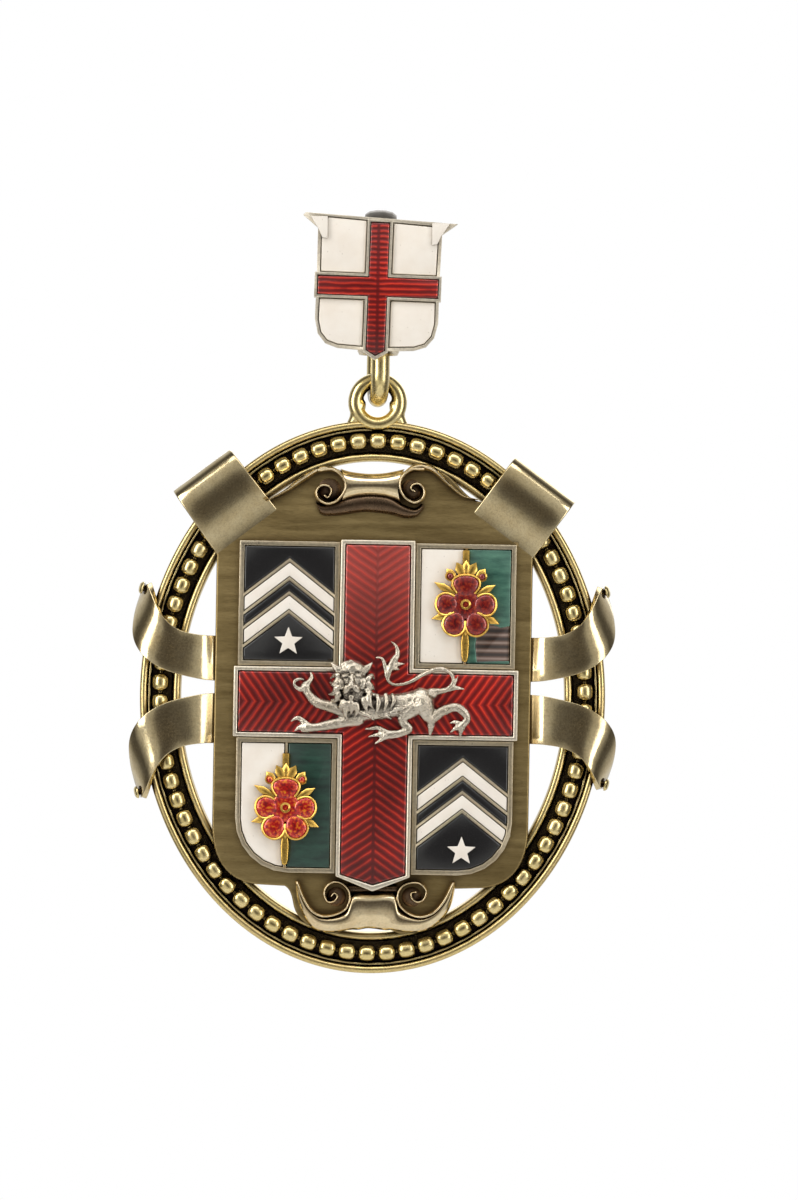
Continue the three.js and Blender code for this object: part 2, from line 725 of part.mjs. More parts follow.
// Hook: a rounded strap up the back of the small shield, over its top and down behind
function backHook() {
  const bendY = hookCrestY + hookThickness / 2 - hookBend;
  const steps = { front: 1, bend: 10, free: 2 };
  const count = steps.front + steps.bend + steps.free;
  const path = (share) => {
    const step = Math.round(share * count);
    if (step <= steps.front) {
      const down = hookFrontLeg * (1 - step / steps.front);
      return { y: bendY - down, z: hookLegFore, angle: 0 };
    }
    if (step <= steps.front + steps.bend) {
      const angle = (Math.PI * (step - steps.front)) / steps.bend;
      return { y: bendY + hookBend * Math.sin(angle), z: hangFore + hookBend * Math.cos(angle), angle };
    }
    const down = (hookFreeLeg * (step - steps.front - steps.bend)) / steps.free;
    return { y: bendY - down, z: hangFore - hookBend, angle: Math.PI };
  };
  const strap = bent(new THREE.CylinderGeometry(1, 1, 1, 12, count), (v) => {
    const at = path(v.y + 0.5);
    const thick = (v.z * hookThickness) / 2;
    return new THREE.Vector3(
      (v.x * hookWidth) / 2,
      at.y + thick * Math.sin(at.angle),
      at.z + thick * Math.cos(at.angle),
    );
  });
  return leaned(toSolid(strap));
}

// Main shield outline, drawn in by inset: square top, rounded lower corners
function shieldOutline(inset) {
  const half = shieldWidth / 2 - inset;
  const corner = shieldCorner - inset;
  const bottom = -shieldBottom + inset;
  const shape = new THREE.Shape();
  shape.moveTo(shieldShift + half, shieldTop - inset);
  shape.lineTo(shieldShift - half, shieldTop - inset);
  shape.lineTo(shieldShift - half, bottom + corner);
  shape.absarc(shieldShift - half + corner, bottom + corner, corner, Math.PI, 1.5 * Math.PI, false);
  shape.lineTo(shieldShift + half - corner, bottom);
  shape.absarc(shieldShift + half - corner, bottom + corner, corner, 1.5 * Math.PI, 2 * Math.PI, false);
  return shape;
}

// One quarter of the shield, outside the cross. side and level are -1 or 1.
function quarterBounds(side, level, inset) {
  const inX = shieldShift + side * (crossPale / 2 + fit + inset);
  const outX = shieldShift + side * (shieldWidth / 2 - inset);
  const inY = -crossBarLow + level * (crossBar / 2 + fit + inset);
  const outY = level > 0 ? shieldTop - inset : -shieldBottom + inset;
  return {
    x0: Math.min(inX, outX),
    x1: Math.max(inX, outX),
    y0: Math.min(inY, outY),
    y1: Math.max(inY, outY),
  };
}

function quarterSlab(side, level, inset, back, front) {
  const b = quarterBounds(side, level, inset);
  const box = block(b.x0, b.y0, back, b.x1, b.y1, front);
  return box.intersect(slab(shieldOutline(inset), back - fit, front + fit));
}

const quarters = [
  { side: -1, level: 1, name: "1" },
  { side: 1, level: 1, name: "2" },
  { side: -1, level: -1, name: "3" },
  { side: 1, level: -1, name: "4" },
];

// Chevronels: each boundary is an upturned V at a height over the quarter's middle
function chevronMiddle(side, level) {
  const b = quarterBounds(side, level, shieldRim);
  return { x: (b.x0 + b.x1) / 2, apex: b.y1 - chevronelDrop, bounds: b };
}

function chevronBand(side, level, from, to, back, front) {
  const { x, apex } = chevronMiddle(side, level);
  const reach = shieldWidth;
  const drop = reach * chevronelSlope;
  const tall = 1 / Math.cos(Math.atan(chevronelSlope));
  const [high, low] = [apex - from * tall, apex - to * tall];
  const shape = polygon([
    [x, high],
    [x - reach, high - drop],
    [x - reach, low - drop],
    [x, low],
    [x + reach, low - drop],
    [x + reach, high - drop],
  ]);
  return slab(shape, back, front);
}

// Bands from the apex down: black, white chevronel, black, white chevronel, black
const bandEdges = [
  0,
  chevronelWidth,
  chevronelWidth + chevronelGap,
  2 * chevronelWidth + chevronelGap,
];
const farBand = 40;
const chevronBands = [
  { name: "black_field_top", from: -farBand, to: bandEdges[0], white: false },
  { name: "chevronel_upper", from: bandEdges[0], to: bandEdges[1], white: true },
  { name: "black_field_middle", from: bandEdges[1], to: bandEdges[2], white: false },
  { name: "chevronel_lower", from: bandEdges[2], to: bandEdges[3], white: true },
  { name: "black_field_low", from: bandEdges[3], to: farBand, white: false },
];

function mainShield() {
  const base = slab(shieldOutline(0), shieldBack, shieldFloor);
  const walls = quarters.map(({ side, level }) =>
    quarterSlab(side, level, 0, shieldFloor - fit, shieldFront).subtract(
      quarterSlab(side, level, shieldRim, shieldFloor, shieldFront + fit),
    ),
  );
  const lines = quarters.flatMap(({ side, level }) => {
    const cell = quarterSlab(side, level, shieldRim / 2, shieldFloor - fit, enamelFront);
    if (side === level) return [cell.intersect(divider(side, level))];
    return bandEdges.map((edge) =>
      cell.intersect(
        chevronBand(side, level, edge - cloison / 2, edge + cloison / 2, shieldFloor - fit, shieldFront),
      ),
    );
  });
  return joined([base, ...walls, ...lines]);
}

// Wall between the white and the green half of a quarter
function divider(side, level) {
  const b = quarterBounds(side, level, 0);
  const x = (b.x0 + b.x1) / 2;
  return block(x - cloison / 2, b.y0, shieldFloor - fit, x + cloison / 2, b.y1, shieldFront);
}

function chevronEnamel(side, level, { from, to }) {
  const cell = quarterSlab(side, level, shieldRim + fit, shieldFloor + fit, enamelFront);
  const gap = cloison / 2 + fit;
  const body = chevronBand(side, level, from + gap, to - gap, shieldBack, shieldFront + 1);
  return cell.intersect(body);
}

function halfEnamel(side, level, way) {
  const b = quarterBounds(side, level, shieldRim + fit);
  const cell = quarterSlab(side, level, shieldRim + fit, shieldFloor + fit, enamelFront);
  const middle = (b.x0 + b.x1) / 2;
  const gap = cloison / 2 + fit;
  const [x0, x1] = way < 0 ? [b.x0, middle - gap] : [middle + gap, b.x1];
  return cell.intersect(block(x0, b.y0, shieldBack, x1, b.y1, shieldFront));
}

// The chip at the lower outer corner of the upper green enamel, with a broken edge
function chip() {
  const b = quarterBounds(1, 1, shieldRim);
  const [x0, x1] = [b.x1 - chipWidth, b.x1 + fit];
  const [y0, y1] = [b.y0 + 0.3, b.y0 + 0.3 + chipHeight];
  const outline = polygon([
    [x0 + 0.2, y0],
    [x1, y0 + 0.2],
    [x1, y1],
    [x1 - 0.3 * chipWidth, y1 - 0.3],
    [x1 - 0.55 * chipWidth, y1 + 0.1],
    [x0 + 0.3, y1 - 0.25],
    [x0, y0 + 0.45 * chipHeight],
  ]);
  return slab(outline, enamelFront - chipDepth, enamelFront + 1);
}

function starShape(x, y) {
  const points = [];
  for (let i = 0; i < 10; i += 1) {
    const angle = Math.PI / 2 + (i * Math.PI) / 5;
    const radius = i % 2 ? 0.42 * starRadius : starRadius;
    points.push([x + radius * Math.cos(angle), y + radius * Math.sin(angle)]);
  }
  return polygon(points);
}

function star(side, level) {
  const { x, bounds } = chevronMiddle(side, level);
  const front = enamelFront + fit;
  return slab(starShape(x, bounds.y0 + 1.3 * starRadius), front, front + inlayRise);
}

// Raised cross, drawn in by inset, with a pointed foot
function crossOutline(inset) {
  const arm = crossPale / 2 - inset;
  const bar = crossBar / 2 - inset;
  const end = shieldWidth / 2 + crossReach - inset;
  const top = shieldTop + crossTop - inset;
  const foot = -shieldBottom - crossTop + 0.4 * inset;
  const low = -crossBarLow;
  const points = [
    [0, foot - crossTip + inset],
    [arm, foot],
    [arm, low - bar],
    [end, low - bar],
    [end, low + bar],
    [arm, low + bar],
    [arm, top],
    [-arm, top],
    [-arm, low + bar],
    [-end, low + bar],
    [-end, low - bar],
    [-arm, low - bar],
    [-arm, foot],
  ];
  return polygon(points.map(([x, y]) => [x + shieldShift, y]));
}

function mainCross() {
  const body = slab(crossOutline(0), crossBack, crossFront);
  return body.subtract(slab(crossOutline(crossRim), crossFloor, crossFront + 1));
}

function mainCrossEnamel() {
  return slab(crossOutline(crossRim + fit), crossFloor + fit, crossFront - enamelDip);
}

// Roses. Five round petals about a boss; leaf points between them; a stem below and a bud above.
function roseCentre(side, level) {
  const b = quarterBounds(side, level, 0);
  return { x: (b.x0 + b.x1) / 2, y: (b.y0 + b.y1) / 2 + 0.25 * level };
}

const petalRadius = 0.2 * roseWidth;
const petalReach = 0.285 * roseWidth;
const roseHeart = 0.62 * petalReach;

function petalDiscs(centre, radius, back, front) {
  return [0, 1, 2, 3, 4].map((k) => {
    const angle = Math.PI / 2 + (k * 2 * Math.PI) / 5;
    const x = centre.x + petalReach * Math.cos(angle);
    const y = centre.y + petalReach * Math.sin(angle);
    return bar(new THREE.Vector3(x, y, back), new THREE.Vector3(x, y, front), radius, 10);
  });
}

function roseSetting(side, level) {
  const centre = roseCentre(side, level);
  const back = enamelFront + fit;
  const floor = back + roseBase;
  const front = floor + roseRimHeight;
  const heart = (radius, from, to) =>
    bar(new THREE.Vector3(centre.x, centre.y, from), new THREE.Vector3(centre.x, centre.y, to), radius, 12);
  const body = joined([...petalDiscs(centre, petalRadius, back, front), heart(petalReach, back, floor)]);
  const cut = joined([
    ...petalDiscs(centre, petalRadius - rosePetalRim, floor, front + 1),
    heart(roseHeart + fit, floor, front + 1),
  ]);
  const leaves = [0, 1, 2, 3, 4].map((k) => {
    const angle = -Math.PI / 2 + (k * 2 * Math.PI) / 5;
    const tip = 0.53 * roseWidth;
    const wide = 0.12 * roseWidth;
    const along = new THREE.Vector2(Math.cos(angle), Math.sin(angle));
    const point = (a, c) => [centre.x + along.x * a - along.y * c, centre.y + along.y * a + along.x * c];
    const outline = [[0.2, -1], [0.8, -0.7], [1, 0], [0.8, 0.7], [0.2, 1]];
    return slab(polygon(outline.map(([a, c]) => point(a * tip, c * wide))), back, floor);
  });
  const stemHalf = roseStem / 2;
  const foot = centre.y - roseHeight / 2;
  const stem = block(centre.x - stemHalf, foot, back, centre.x + stemHalf, centre.y, floor);
  const bud = slab(
    polygon([
      [centre.x, centre.y + 0.3 * roseWidth],
      [centre.x + 0.14 * roseWidth, centre.y + 0.44 * roseHeight - 0.9],
      [centre.x + 0.2 * roseWidth, centre.y + 0.44 * roseHeight],
      [centre.x + 0.07 * roseWidth, centre.y + 0.43 * roseHeight],
      [centre.x, centre.y + roseHeight / 2],
      [centre.x - 0.07 * roseWidth, centre.y + 0.43 * roseHeight],
      [centre.x - 0.2 * roseWidth, centre.y + 0.44 * roseHeight],
      [centre.x - 0.14 * roseWidth, centre.y + 0.44 * roseHeight - 0.9],
    ]),
    back,
    floor,
  );
  const boss = heart(roseBoss / 2, back, front + 0.2);
  return joined([body.subtract(cut), ...leaves, stem, bud, boss]);
}

function roseEnamel(side, level) {
  const centre = roseCentre(side, level);
  const back = enamelFront + 2 * fit + roseBase;
  const front = enamelFront + roseBase + roseRimHeight + 0.15;
  const radius = petalRadius - rosePetalRim - fit;
  const ring = bar(
    new THREE.Vector3(centre.x, centre.y, back),
    new THREE.Vector3(centre.x, centre.y, front),
    roseHeart,
    12,
  );
  const lobes = joined([...petalDiscs(centre, radius, back, front), ring]);
  return lobes.subtract(
    bar(
      new THREE.Vector3(centre.x, centre.y, back - 1),
      new THREE.Vector3(centre.x, centre.y, front + 1),
      roseBoss / 2 + fit,
      12,
    ),
  );
}

// Lion walking to the left. Columns of each row: x, y, height over the cross and radius, as shares of its
// length.
const lionCentre = { x: 0.95, y: 0.7 };
const lionLimbs = [
  { part: "torso", sides: 8, rows: [
    [-0.161, -0.117, 0.05, 0.05], [-0.09, -0.091, 0.06, 0.072], [0.01, -0.082, 0.06, 0.07],
    [0.145, -0.054, 0.055, 0.06], [0.224, -0.035, 0.06, 0.063], [0.288, -0.005, 0.045, 0.029],
  ] },
  { part: "mane", sides: 8, rows: [
    [-0.133, -0.102, 0.05, 0.068], [-0.145, -0.038, 0.06, 0.1], [-0.15, 0.041, 0.07, 0.118],
    [-0.152, 0.112, 0.06, 0.064],
  ] },
  { part: "head", sides: 8, rows: [
    [-0.155, 0.134, 0.085, 0.036], [-0.154, 0.076, 0.1, 0.082], [-0.158, 0.012, 0.11, 0.057],
    [-0.161, -0.038, 0.1, 0.025],
  ] },
  { part: "ear_left", sides: 6, rows: [
    [-0.19, 0.08, 0.09, 0.03], [-0.237, 0.118, 0.09, 0.026], [-0.27, 0.152, 0.085, 0.01],
  ] },
  { part: "ear_right", sides: 6, rows: [
    [-0.12, 0.08, 0.09, 0.03], [-0.08, 0.125, 0.09, 0.025], [-0.054, 0.155, 0.085, 0.01],
  ] },
  { part: "raised_foreleg", sides: 6, rows: [
    [-0.204, -0.096, 0.05, 0.043], [-0.283, -0.085, 0.06, 0.033], [-0.355, -0.063, 0.06, 0.03],
    [-0.403, -0.007, 0.055, 0.026], [-0.421, 0.029, 0.05, 0.03], [-0.388, 0.09, 0.045, 0.011],
  ] },
  { part: "raised_toe", sides: 6, rows: [
    [-0.418, 0.022, 0.045, 0.024], [-0.464, 0.021, 0.045, 0.014], [-0.477, 0.046, 0.045, 0.01],
    [-0.447, 0.063, 0.045, 0.007],
  ] },
  { part: "low_foreleg", sides: 6, rows: [
    [-0.125, -0.145, 0.05, 0.043], [-0.203, -0.166, 0.045, 0.033], [-0.282, -0.185, 0.04, 0.029],
    [-0.353, -0.2, 0.04, 0.026], [-0.41, -0.198, 0.035, 0.03], [-0.46, -0.215, 0.03, 0.013],
  ] },
  { part: "low_toe", sides: 6, rows: [
    [-0.414, -0.189, 0.035, 0.023], [-0.454, -0.158, 0.03, 0.016], [-0.493, -0.174, 0.03, 0.006],
  ] },
  { part: "near_hind_leg", sides: 6, rows: [
    [0.182, -0.089, 0.05, 0.054], [0.129, -0.148, 0.045, 0.031], [0.161, -0.201, 0.04, 0.027],
    [0.098, -0.229, 0.035, 0.024], [0.027, -0.237, 0.035, 0.029], [-0.059, -0.251, 0.03, 0.01],
  ] },
  { part: "near_toes", sides: 6, rows: [
    [0.034, -0.236, 0.035, 0.024], [-0.016, -0.207, 0.03, 0.016], [-0.079, -0.207, 0.03, 0.006],
  ] },
  { part: "far_hind_leg", sides: 6, rows: [
    [0.246, -0.067, 0.06, 0.063], [0.286, -0.138, 0.05, 0.033], [0.361, -0.09, 0.045, 0.03],
    [0.432, -0.074, 0.04, 0.027], [0.479, -0.127, 0.04, 0.024], [0.448, -0.188, 0.035, 0.024],
    [0.402, -0.2, 0.03, 0.011],
  ] },
  { part: "tail", sides: 6, rows: [
    [0.28, 0.009, 0.05, 0.024], [0.373, 0.018, 0.045, 0.017], [0.405, 0.058, 0.04, 0.013],
    [0.357, 0.127, 0.035, 0.011], [0.236, 0.105, 0.035, 0.01], [0.101, 0.042, 0.04, 0.01],
    [0.036, 0.076, 0.04, 0.011], [0.014, 0.165, 0.035, 0.011], [-0.022, 0.192, 0.03, 0.007],
  ] },
  { part: "tuft", sides: 6, rows: [
    [0.046, 0.094, 0.04, 0.01], [0.06, 0.145, 0.04, 0.02], [0.094, 0.21, 0.04, 0.014],
    [0.079, 0.263, 0.035, 0.01], [0.052, 0.282, 0.03, 0.005],
  ] },
];

function lion() {
  const back = crossFront + fit;
  const place = ([x, y, z, r]) => [
    lionCentre.x + x * lionLength,
    lionCentre.y + y * lionLength,
    back + z * lionLength * lionLift,
    r * lionLength,
  ];
  const limbs = lionLimbs.map(({ sides, rows }) => limb(rows.map(place), sides, 2 * rows.length - 2));
  const far = lionLength;
  const front = block(-far, -far, back, far, far, back + far);
  return joined(limbs).intersect(front);
}

// Finishes, with the colours of the metals and enamels
const finishes = {
  gilt: { color: 0xcfb878, metalness: 1, roughness: 0.28 },
  brushedGilt: { color: 0x7a663a, metalness: 1, roughness: 0.42 },
  silver: { color: 0xc9c3b4, metalness: 1, roughness: 0.3 },
  gold: { color: 0xd7aa3c, metalness: 1, roughness: 0.3 },
  steel: { color: 0x8c8a84, metalness: 1, roughness: 0.4 },
  redEnamel: { color: 0x8e1012, metalness: 0, roughness: 0.12 },
  whiteEnamel: { color: 0xebe3d9, metalness: 0, roughness: 0.15 },
  blackEnamel: { color: 0x17171a, metalness: 0, roughness: 0.1 },
  greenEnamel: { color: 0x2f5f50, metalness: 0, roughness: 0.2 },
};
const finished = ([name, finish]) => [name, new THREE.MeshStandardMaterial({ ...finish, name })];
const materials = Object.fromEntries(Object.entries(finishes).map(finished));

function piece(name, solid, finish) {
  const mesh = new THREE.Mesh(toGeometry(solid), materials[finish]);
  mesh.name = name;
  return mesh;
}

const hanger = new THREE.Group();
hanger.add(piece("upper_shield", upperShield(), "silver"));
hanger.add(piece("upper_cross_enamel", upperCrossEnamel(), "redEnamel"));
hanger.add(piece("back_hook", backHook(), "steel"));
quarters.forEach(({ side, level, name }) => {
  hanger.add(piece(`upper_white_enamel_${name}`, upperWhiteEnamel(side, level), "whiteEnamel"));
});

const badge = new THREE.Group();
badge.add(piece("oval_frame", ovalFrame(), "gilt"));
badge.add(piece("beaded_wire", beadedWire(), "gilt"));
badge.add(piece("cartouche", cartouche(), "brushedGilt"));
sideStrips.forEach((s, i) => badge.add(piece(`ribbon_rivet_${i + 1}`, ribbonRivet(s), "gilt")));
badge.add(piece("main_shield", mainShield(), "silver"));
badge.add(piece("main_cross", mainCross(), "silver"));
badge.add(piece("main_cross_enamel", mainCrossEnamel(), "redEnamel"));
badge.add(piece("lion", lion(), "silver"));
quarters.forEach(({ side, level, name }) => {
  if (side !== level) {
    for (const band of chevronBands) {
      const finish = band.white ? "whiteEnamel" : "blackEnamel";
      badge.add(piece(`${band.name}_${name}`, chevronEnamel(side, level, band), finish));
    }
    badge.add(piece(`star_${name}`, star(side, level), "whiteEnamel"));
    return;
  }
  const green = halfEnamel(side, level, 1);
  badge.add(piece(`white_field_${name}`, halfEnamel(side, level, -1), "whiteEnamel"));
  badge.add(piece(`green_field_${name}`, level > 0 ? green.subtract(chip()) : green, "greenEnamel"));
  badge.add(piece(`rose_setting_${name}`, roseSetting(side, level), "gold"));
  badge.add(piece(`rose_enamel_${name}`, roseEnamel(side, level), "redEnamel"));
});

const link = new THREE.Group();
link.add(piece("suspension_link", suspensionLink(), "gilt"));

const drawn = new THREE.Group();
drawn.add(hanger, link, badge);
drawn.position.set(0, -hookCrestY, -hangFore);

const root = new THREE.Group();
root.add(drawn);
root.rotation.x = Math.PI / 2;

export default root;
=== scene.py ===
import math

import bmesh
import bpy
from mathutils import Matrix, Vector


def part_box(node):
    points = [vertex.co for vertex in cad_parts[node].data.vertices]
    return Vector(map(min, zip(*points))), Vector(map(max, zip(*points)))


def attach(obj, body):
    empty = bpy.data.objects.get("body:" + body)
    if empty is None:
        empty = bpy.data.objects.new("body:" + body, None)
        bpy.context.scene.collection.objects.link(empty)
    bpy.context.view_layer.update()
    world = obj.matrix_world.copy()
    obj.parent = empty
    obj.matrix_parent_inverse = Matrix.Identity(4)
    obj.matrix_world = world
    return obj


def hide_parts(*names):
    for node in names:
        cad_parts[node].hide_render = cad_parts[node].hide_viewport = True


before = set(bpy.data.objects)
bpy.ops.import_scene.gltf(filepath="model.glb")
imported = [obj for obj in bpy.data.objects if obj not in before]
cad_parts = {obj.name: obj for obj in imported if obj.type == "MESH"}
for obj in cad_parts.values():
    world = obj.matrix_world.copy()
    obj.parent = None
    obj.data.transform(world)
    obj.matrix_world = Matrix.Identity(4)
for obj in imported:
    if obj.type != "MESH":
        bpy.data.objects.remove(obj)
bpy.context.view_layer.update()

# The badge is drawn in millimetres from the middle of its oval: x right, y up, z out to the front
mm = 0.001
oval = {"width": 55.9, "height": 66.4, "band": 4.9, "steps": 288}
ovalLow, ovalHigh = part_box("oval_frame")
backY = ovalHigh.y
centreZ = ovalLow.z + oval["height"] / 2 * mm
toFrame = Matrix(((mm, 0, 0, 0), (0, 0, -mm, backY), (0, mm, 0, centreZ), (0, 0, 0, 1)))
toDrawn = toFrame.inverted()
print("frame loaded, oval centre at", round(centreZ * 1000, 2), "mm")


def drawnBox(node):  # a node's box in drawn millimetres
    low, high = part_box(node)
    a, b = toDrawn @ low, toDrawn @ high
    return Vector(map(min, a, b)), Vector(map(max, a, b))


# Materials

def newMaterial(name):
    material = bpy.data.materials.new(name)
    material.use_nodes = True
    nodes = material.node_tree.nodes
    return material, nodes, material.node_tree.links, nodes["Principled BSDF"]


def objectPlace(nodes, links, scale=(1, 1, 1), centre=(0, 0, 0), turn=0):  # Object coordinates in mm
    where = nodes.new("ShaderNodeTexCoord")
    mapping = nodes.new("ShaderNodeMapping")
    mapping.vector_type = "TEXTURE"
    mapping.inputs["Location"].default_value = centre
    mapping.inputs["Rotation"].default_value = (0, turn, 0)
    mapping.inputs["Scale"].default_value = [mm / s for s in scale]
    links.new(where.outputs["Object"], mapping.inputs["Vector"])
    return mapping.outputs["Vector"]


def noiseOf(nodes, links, vector, scale, detail=3, rough=0.55):
    noise = nodes.new("ShaderNodeTexNoise")
    noise.inputs["Scale"].default_value = scale
    noise.inputs["Detail"].default_value = detail
    noise.inputs["Roughness"].default_value = rough
    links.new(vector, noise.inputs["Vector"])
    return noise.outputs["Fac"]


def rampOf(nodes, links, factor, stops):
    ramp = nodes.new("ShaderNodeValToRGB")
    elements = ramp.color_ramp.elements
    while len(elements) < len(stops):
        elements.new(0.5)
    for element, (at, colour) in zip(elements, stops):
        element.position = at
        element.color = (*colour, 1) if len(colour) == 3 else colour
    links.new(factor, ramp.inputs["Fac"])
    return ramp.outputs["Color"]


def mixOf(nodes, links, factor, a, b, blend="MIX"):
    mix = nodes.new("ShaderNodeMix")
    mix.data_type = "RGBA"
    mix.blend_type = blend
    for socket, value in ((mix.inputs[0], factor), (mix.inputs[6], a), (mix.inputs[7], b)):
        if hasattr(value, "is_output"):
            links.new(value, socket)
        elif isinstance(value, (int, float)):
            socket.default_value = value
        else:
            socket.default_value = (*value, 1)
    return mix.outputs[2]


def mathOf(nodes, links, operation, a, b=0.0, c=None):
    node = nodes.new("ShaderNodeMath")
    node.operation = operation
    for index, value in enumerate((a, b, c)):
        if value is None:
            continue
        if hasattr(value, "is_output"):
            links.new(value, node.inputs[index])
        else:
            node.inputs[index].default_value = value
    return node.outputs[0]


def spread(nodes, links, value, low, high, fromLow=0.3, fromHigh=0.7):
    span = nodes.new("ShaderNodeMapRange")
    span.inputs["From Min"].default_value = fromLow
    span.inputs["From Max"].default_value = fromHigh
    span.inputs["To Min"].default_value = low
    span.inputs["To Max"].default_value = high
    links.new(value, span.inputs["Value"])
    return span.outputs["Result"]


def bumpOf(nodes, links, height, strength, distance):
    bump = nodes.new("ShaderNodeBump")
    bump.inputs["Strength"].default_value = strength
    bump.inputs["Distance"].default_value = distance * mm
    links.new(height, bump.inputs["Height"])
    return bump


def hollowShadeMask(nodes, reach):  # painted shade mask: 0 in a narrow hollow, where shade falls, 1 in the open
    shade = nodes.new("ShaderNodeAmbientOcclusion")
    shade.samples = 6
    shade.inputs["Distance"].default_value = reach * mm
    return shade.outputs["AO"]


# Every metal takes a deeper colour in each narrow hollow, where the shade mask is low: partly patina, partly
# painted shade
metals = {
    "gilt": {
        "base": (0.75, 0.60, 0.26), "tint": (0.80, 0.66, 0.34), "patinaAndShade": (0.035, 0.022, 0.016),
        "rough": (0.16, 0.32), "hollow": 0.9, "edges": (0.5, 0.86), "grain": (1, 1, 1), "bump": 0.12,
    },
    "channelGilt": {
        "base": (0.74, 0.60, 0.27), "tint": (0.72, 0.55, 0.26), "patinaAndShade": (0.020, 0.012, 0.010),
        "rough": (0.2, 0.38), "hollow": 1.5, "edges": (0.5, 0.8), "grain": (1, 1, 1), "bump": 0.15,
    },
    "brushedGilt": {
        "base": (0.26, 0.185, 0.075), "tint": (0.34, 0.255, 0.115), "patinaAndShade": (0.06, 0.038, 0.02),
        "rough": (0.3, 0.45), "hollow": 1.4, "edges": (0.3, 0.8), "grain": (0.35, 1, 3.5), "bump": 0.1,
    },
    "ribbonGilt": {
        "base": (0.72, 0.61, 0.38), "tint": (0.56, 0.44, 0.24), "patinaAndShade": (0.11, 0.07, 0.035),
        "rough": (0.08, 0.22), "hollow": 1.4, "edges": (0.25, 0.7), "grain": (1, 1, 1), "bump": 0.08,
    },
    "scrollGilt": {
        "base": (0.84, 0.71, 0.47), "tint": (0.70, 0.54, 0.31), "patinaAndShade": (0.075, 0.045, 0.028),
        "rough": (0.1, 0.22), "hollow": 1.1, "edges": (0.45, 0.85), "grain": (1, 1, 1), "bump": 0.06,
    },
    "silver": {
        "base": (0.92, 0.85, 0.72), "tint": (0.78, 0.69, 0.54), "patinaAndShade": (0.14, 0.10, 0.065),
        "rough": (0.3, 0.46), "hollow": 0.25, "edges": (0.2, 0.6), "grain": (1, 1, 1), "bump": 0.15,
    },
    "traySilver": {
        "base": (0.70, 0.61, 0.45), "tint": (0.52, 0.43, 0.29), "patinaAndShade": (0.09, 0.065, 0.04),
        "rough": (0.26, 0.42), "hollow": 0.35, "edges": (0.25, 0.7), "grain": (1, 1, 1), "bump": 0.25,
    },
    "castSilver": {
        "base": (0.68, 0.62, 0.52), "tint": (0.50, 0.43, 0.33), "patinaAndShade": (0.03, 0.02, 0.015),
        "rough": (0.14, 0.3), "hollow": 1.2, "edges": (0.45, 0.92), "grain": (1, 1, 1), "bump": 0.7,
        "fine": 2.0, "depth": 0.2,
    },
    "gold": {
        "base": (0.86, 0.56, 0.13), "tint": (0.72, 0.42, 0.09), "patinaAndShade": (0.16, 0.07, 0.02),
        "rough": (0.2, 0.36), "hollow": 0.4, "edges": (0.3, 0.7), "grain": (1, 1, 1), "bump": 0.2,
    },
    # Deep brown metal for the strip and discs under the scrolls' rolls: painted shade
    "scrollShade": {
        "base": (0.17, 0.115, 0.07), "tint": (0.11, 0.07, 0.045), "patinaAndShade": (0.03, 0.018, 0.012),
        "rough": (0.2, 0.36), "hollow": 1.0, "edges": (0.35, 0.85), "grain": (1, 1, 1), "bump": 0.15,
    },
    "darkMetal": {
        "base": (0.30, 0.28, 0.25), "tint": (0.20, 0.18, 0.15), "patinaAndShade": (0.04, 0.035, 0.03),
        "rough": (0.3, 0.5), "hollow": 1.0, "edges": (0.3, 0.7), "grain": (1, 1, 1), "bump": 0.25,
    },
}


def metalMaterial(name, finish):
    material, nodes, links, shader = newMaterial(name)
    place = objectPlace(nodes, links, scale=finish["grain"])
    cloud = noiseOf(nodes, links, place, 0.32, 5, 0.6)
    grain = noiseOf(nodes, links, place, finish.get("fine", 4.5), 4, 0.65)
    colour = mixOf(nodes, links, spread(nodes, links, cloud, 0, 1), finish["base"], finish["tint"])
    speck = spread(nodes, links, grain, 0.82, 1.06, 0.3, 0.55)
    colour = mixOf(nodes, links, 1.0, colour, speck, "MULTIPLY")
    low, high = finish["edges"]
    # Painted shade, with some patina: narrow hollow places take the metal's deep colour
    clear = spread(nodes, links, hollowShadeMask(nodes, finish["hollow"]), 0, 1, low, high)
    colour = mixOf(nodes, links, clear, finish["patinaAndShade"], colour)
    links.new(colour, shader.inputs["Base Color"])
    shader.inputs["Metallic"].default_value = 1
    rough = mathOf(nodes, links, "ADD", cloud, mathOf(nodes, links, "MULTIPLY", grain, 0.5))
    links.new(spread(nodes, links, rough, *finish["rough"], 0.5, 1.0), shader.inputs["Roughness"])
    relief = bumpOf(nodes, links, grain, finish["bump"], finish.get("depth", 0.05))
    links.new(relief.outputs["Normal"], shader.inputs["Normal"])
    return material


# Shader settings of each enamel, by the names of the sockets
coats = {
    "red": {"Metallic": 0.55, "Roughness": 0.34, "Coat Weight": 1, "Coat Roughness": 0.04, "Coat IOR": 1.55},
    "white": {"Roughness": 0.3, "Coat Weight": 0.8, "Coat Roughness": 0.06},
    "black": {"Coat Weight": 1, "Coat Roughness": 0.03},
    "green": {"Metallic": 0.35, "Roughness": 0.3, "Coat Weight": 0.9, "Coat Roughness": 0.08},
    "petal": {"Metallic": 0.4, "Roughness": 0.25, "Coat Weight": 1, "Coat Roughness": 0.04},
}


def coat(shader, name):
    for socket, value in coats[name].items():
        shader.inputs[socket].default_value = value


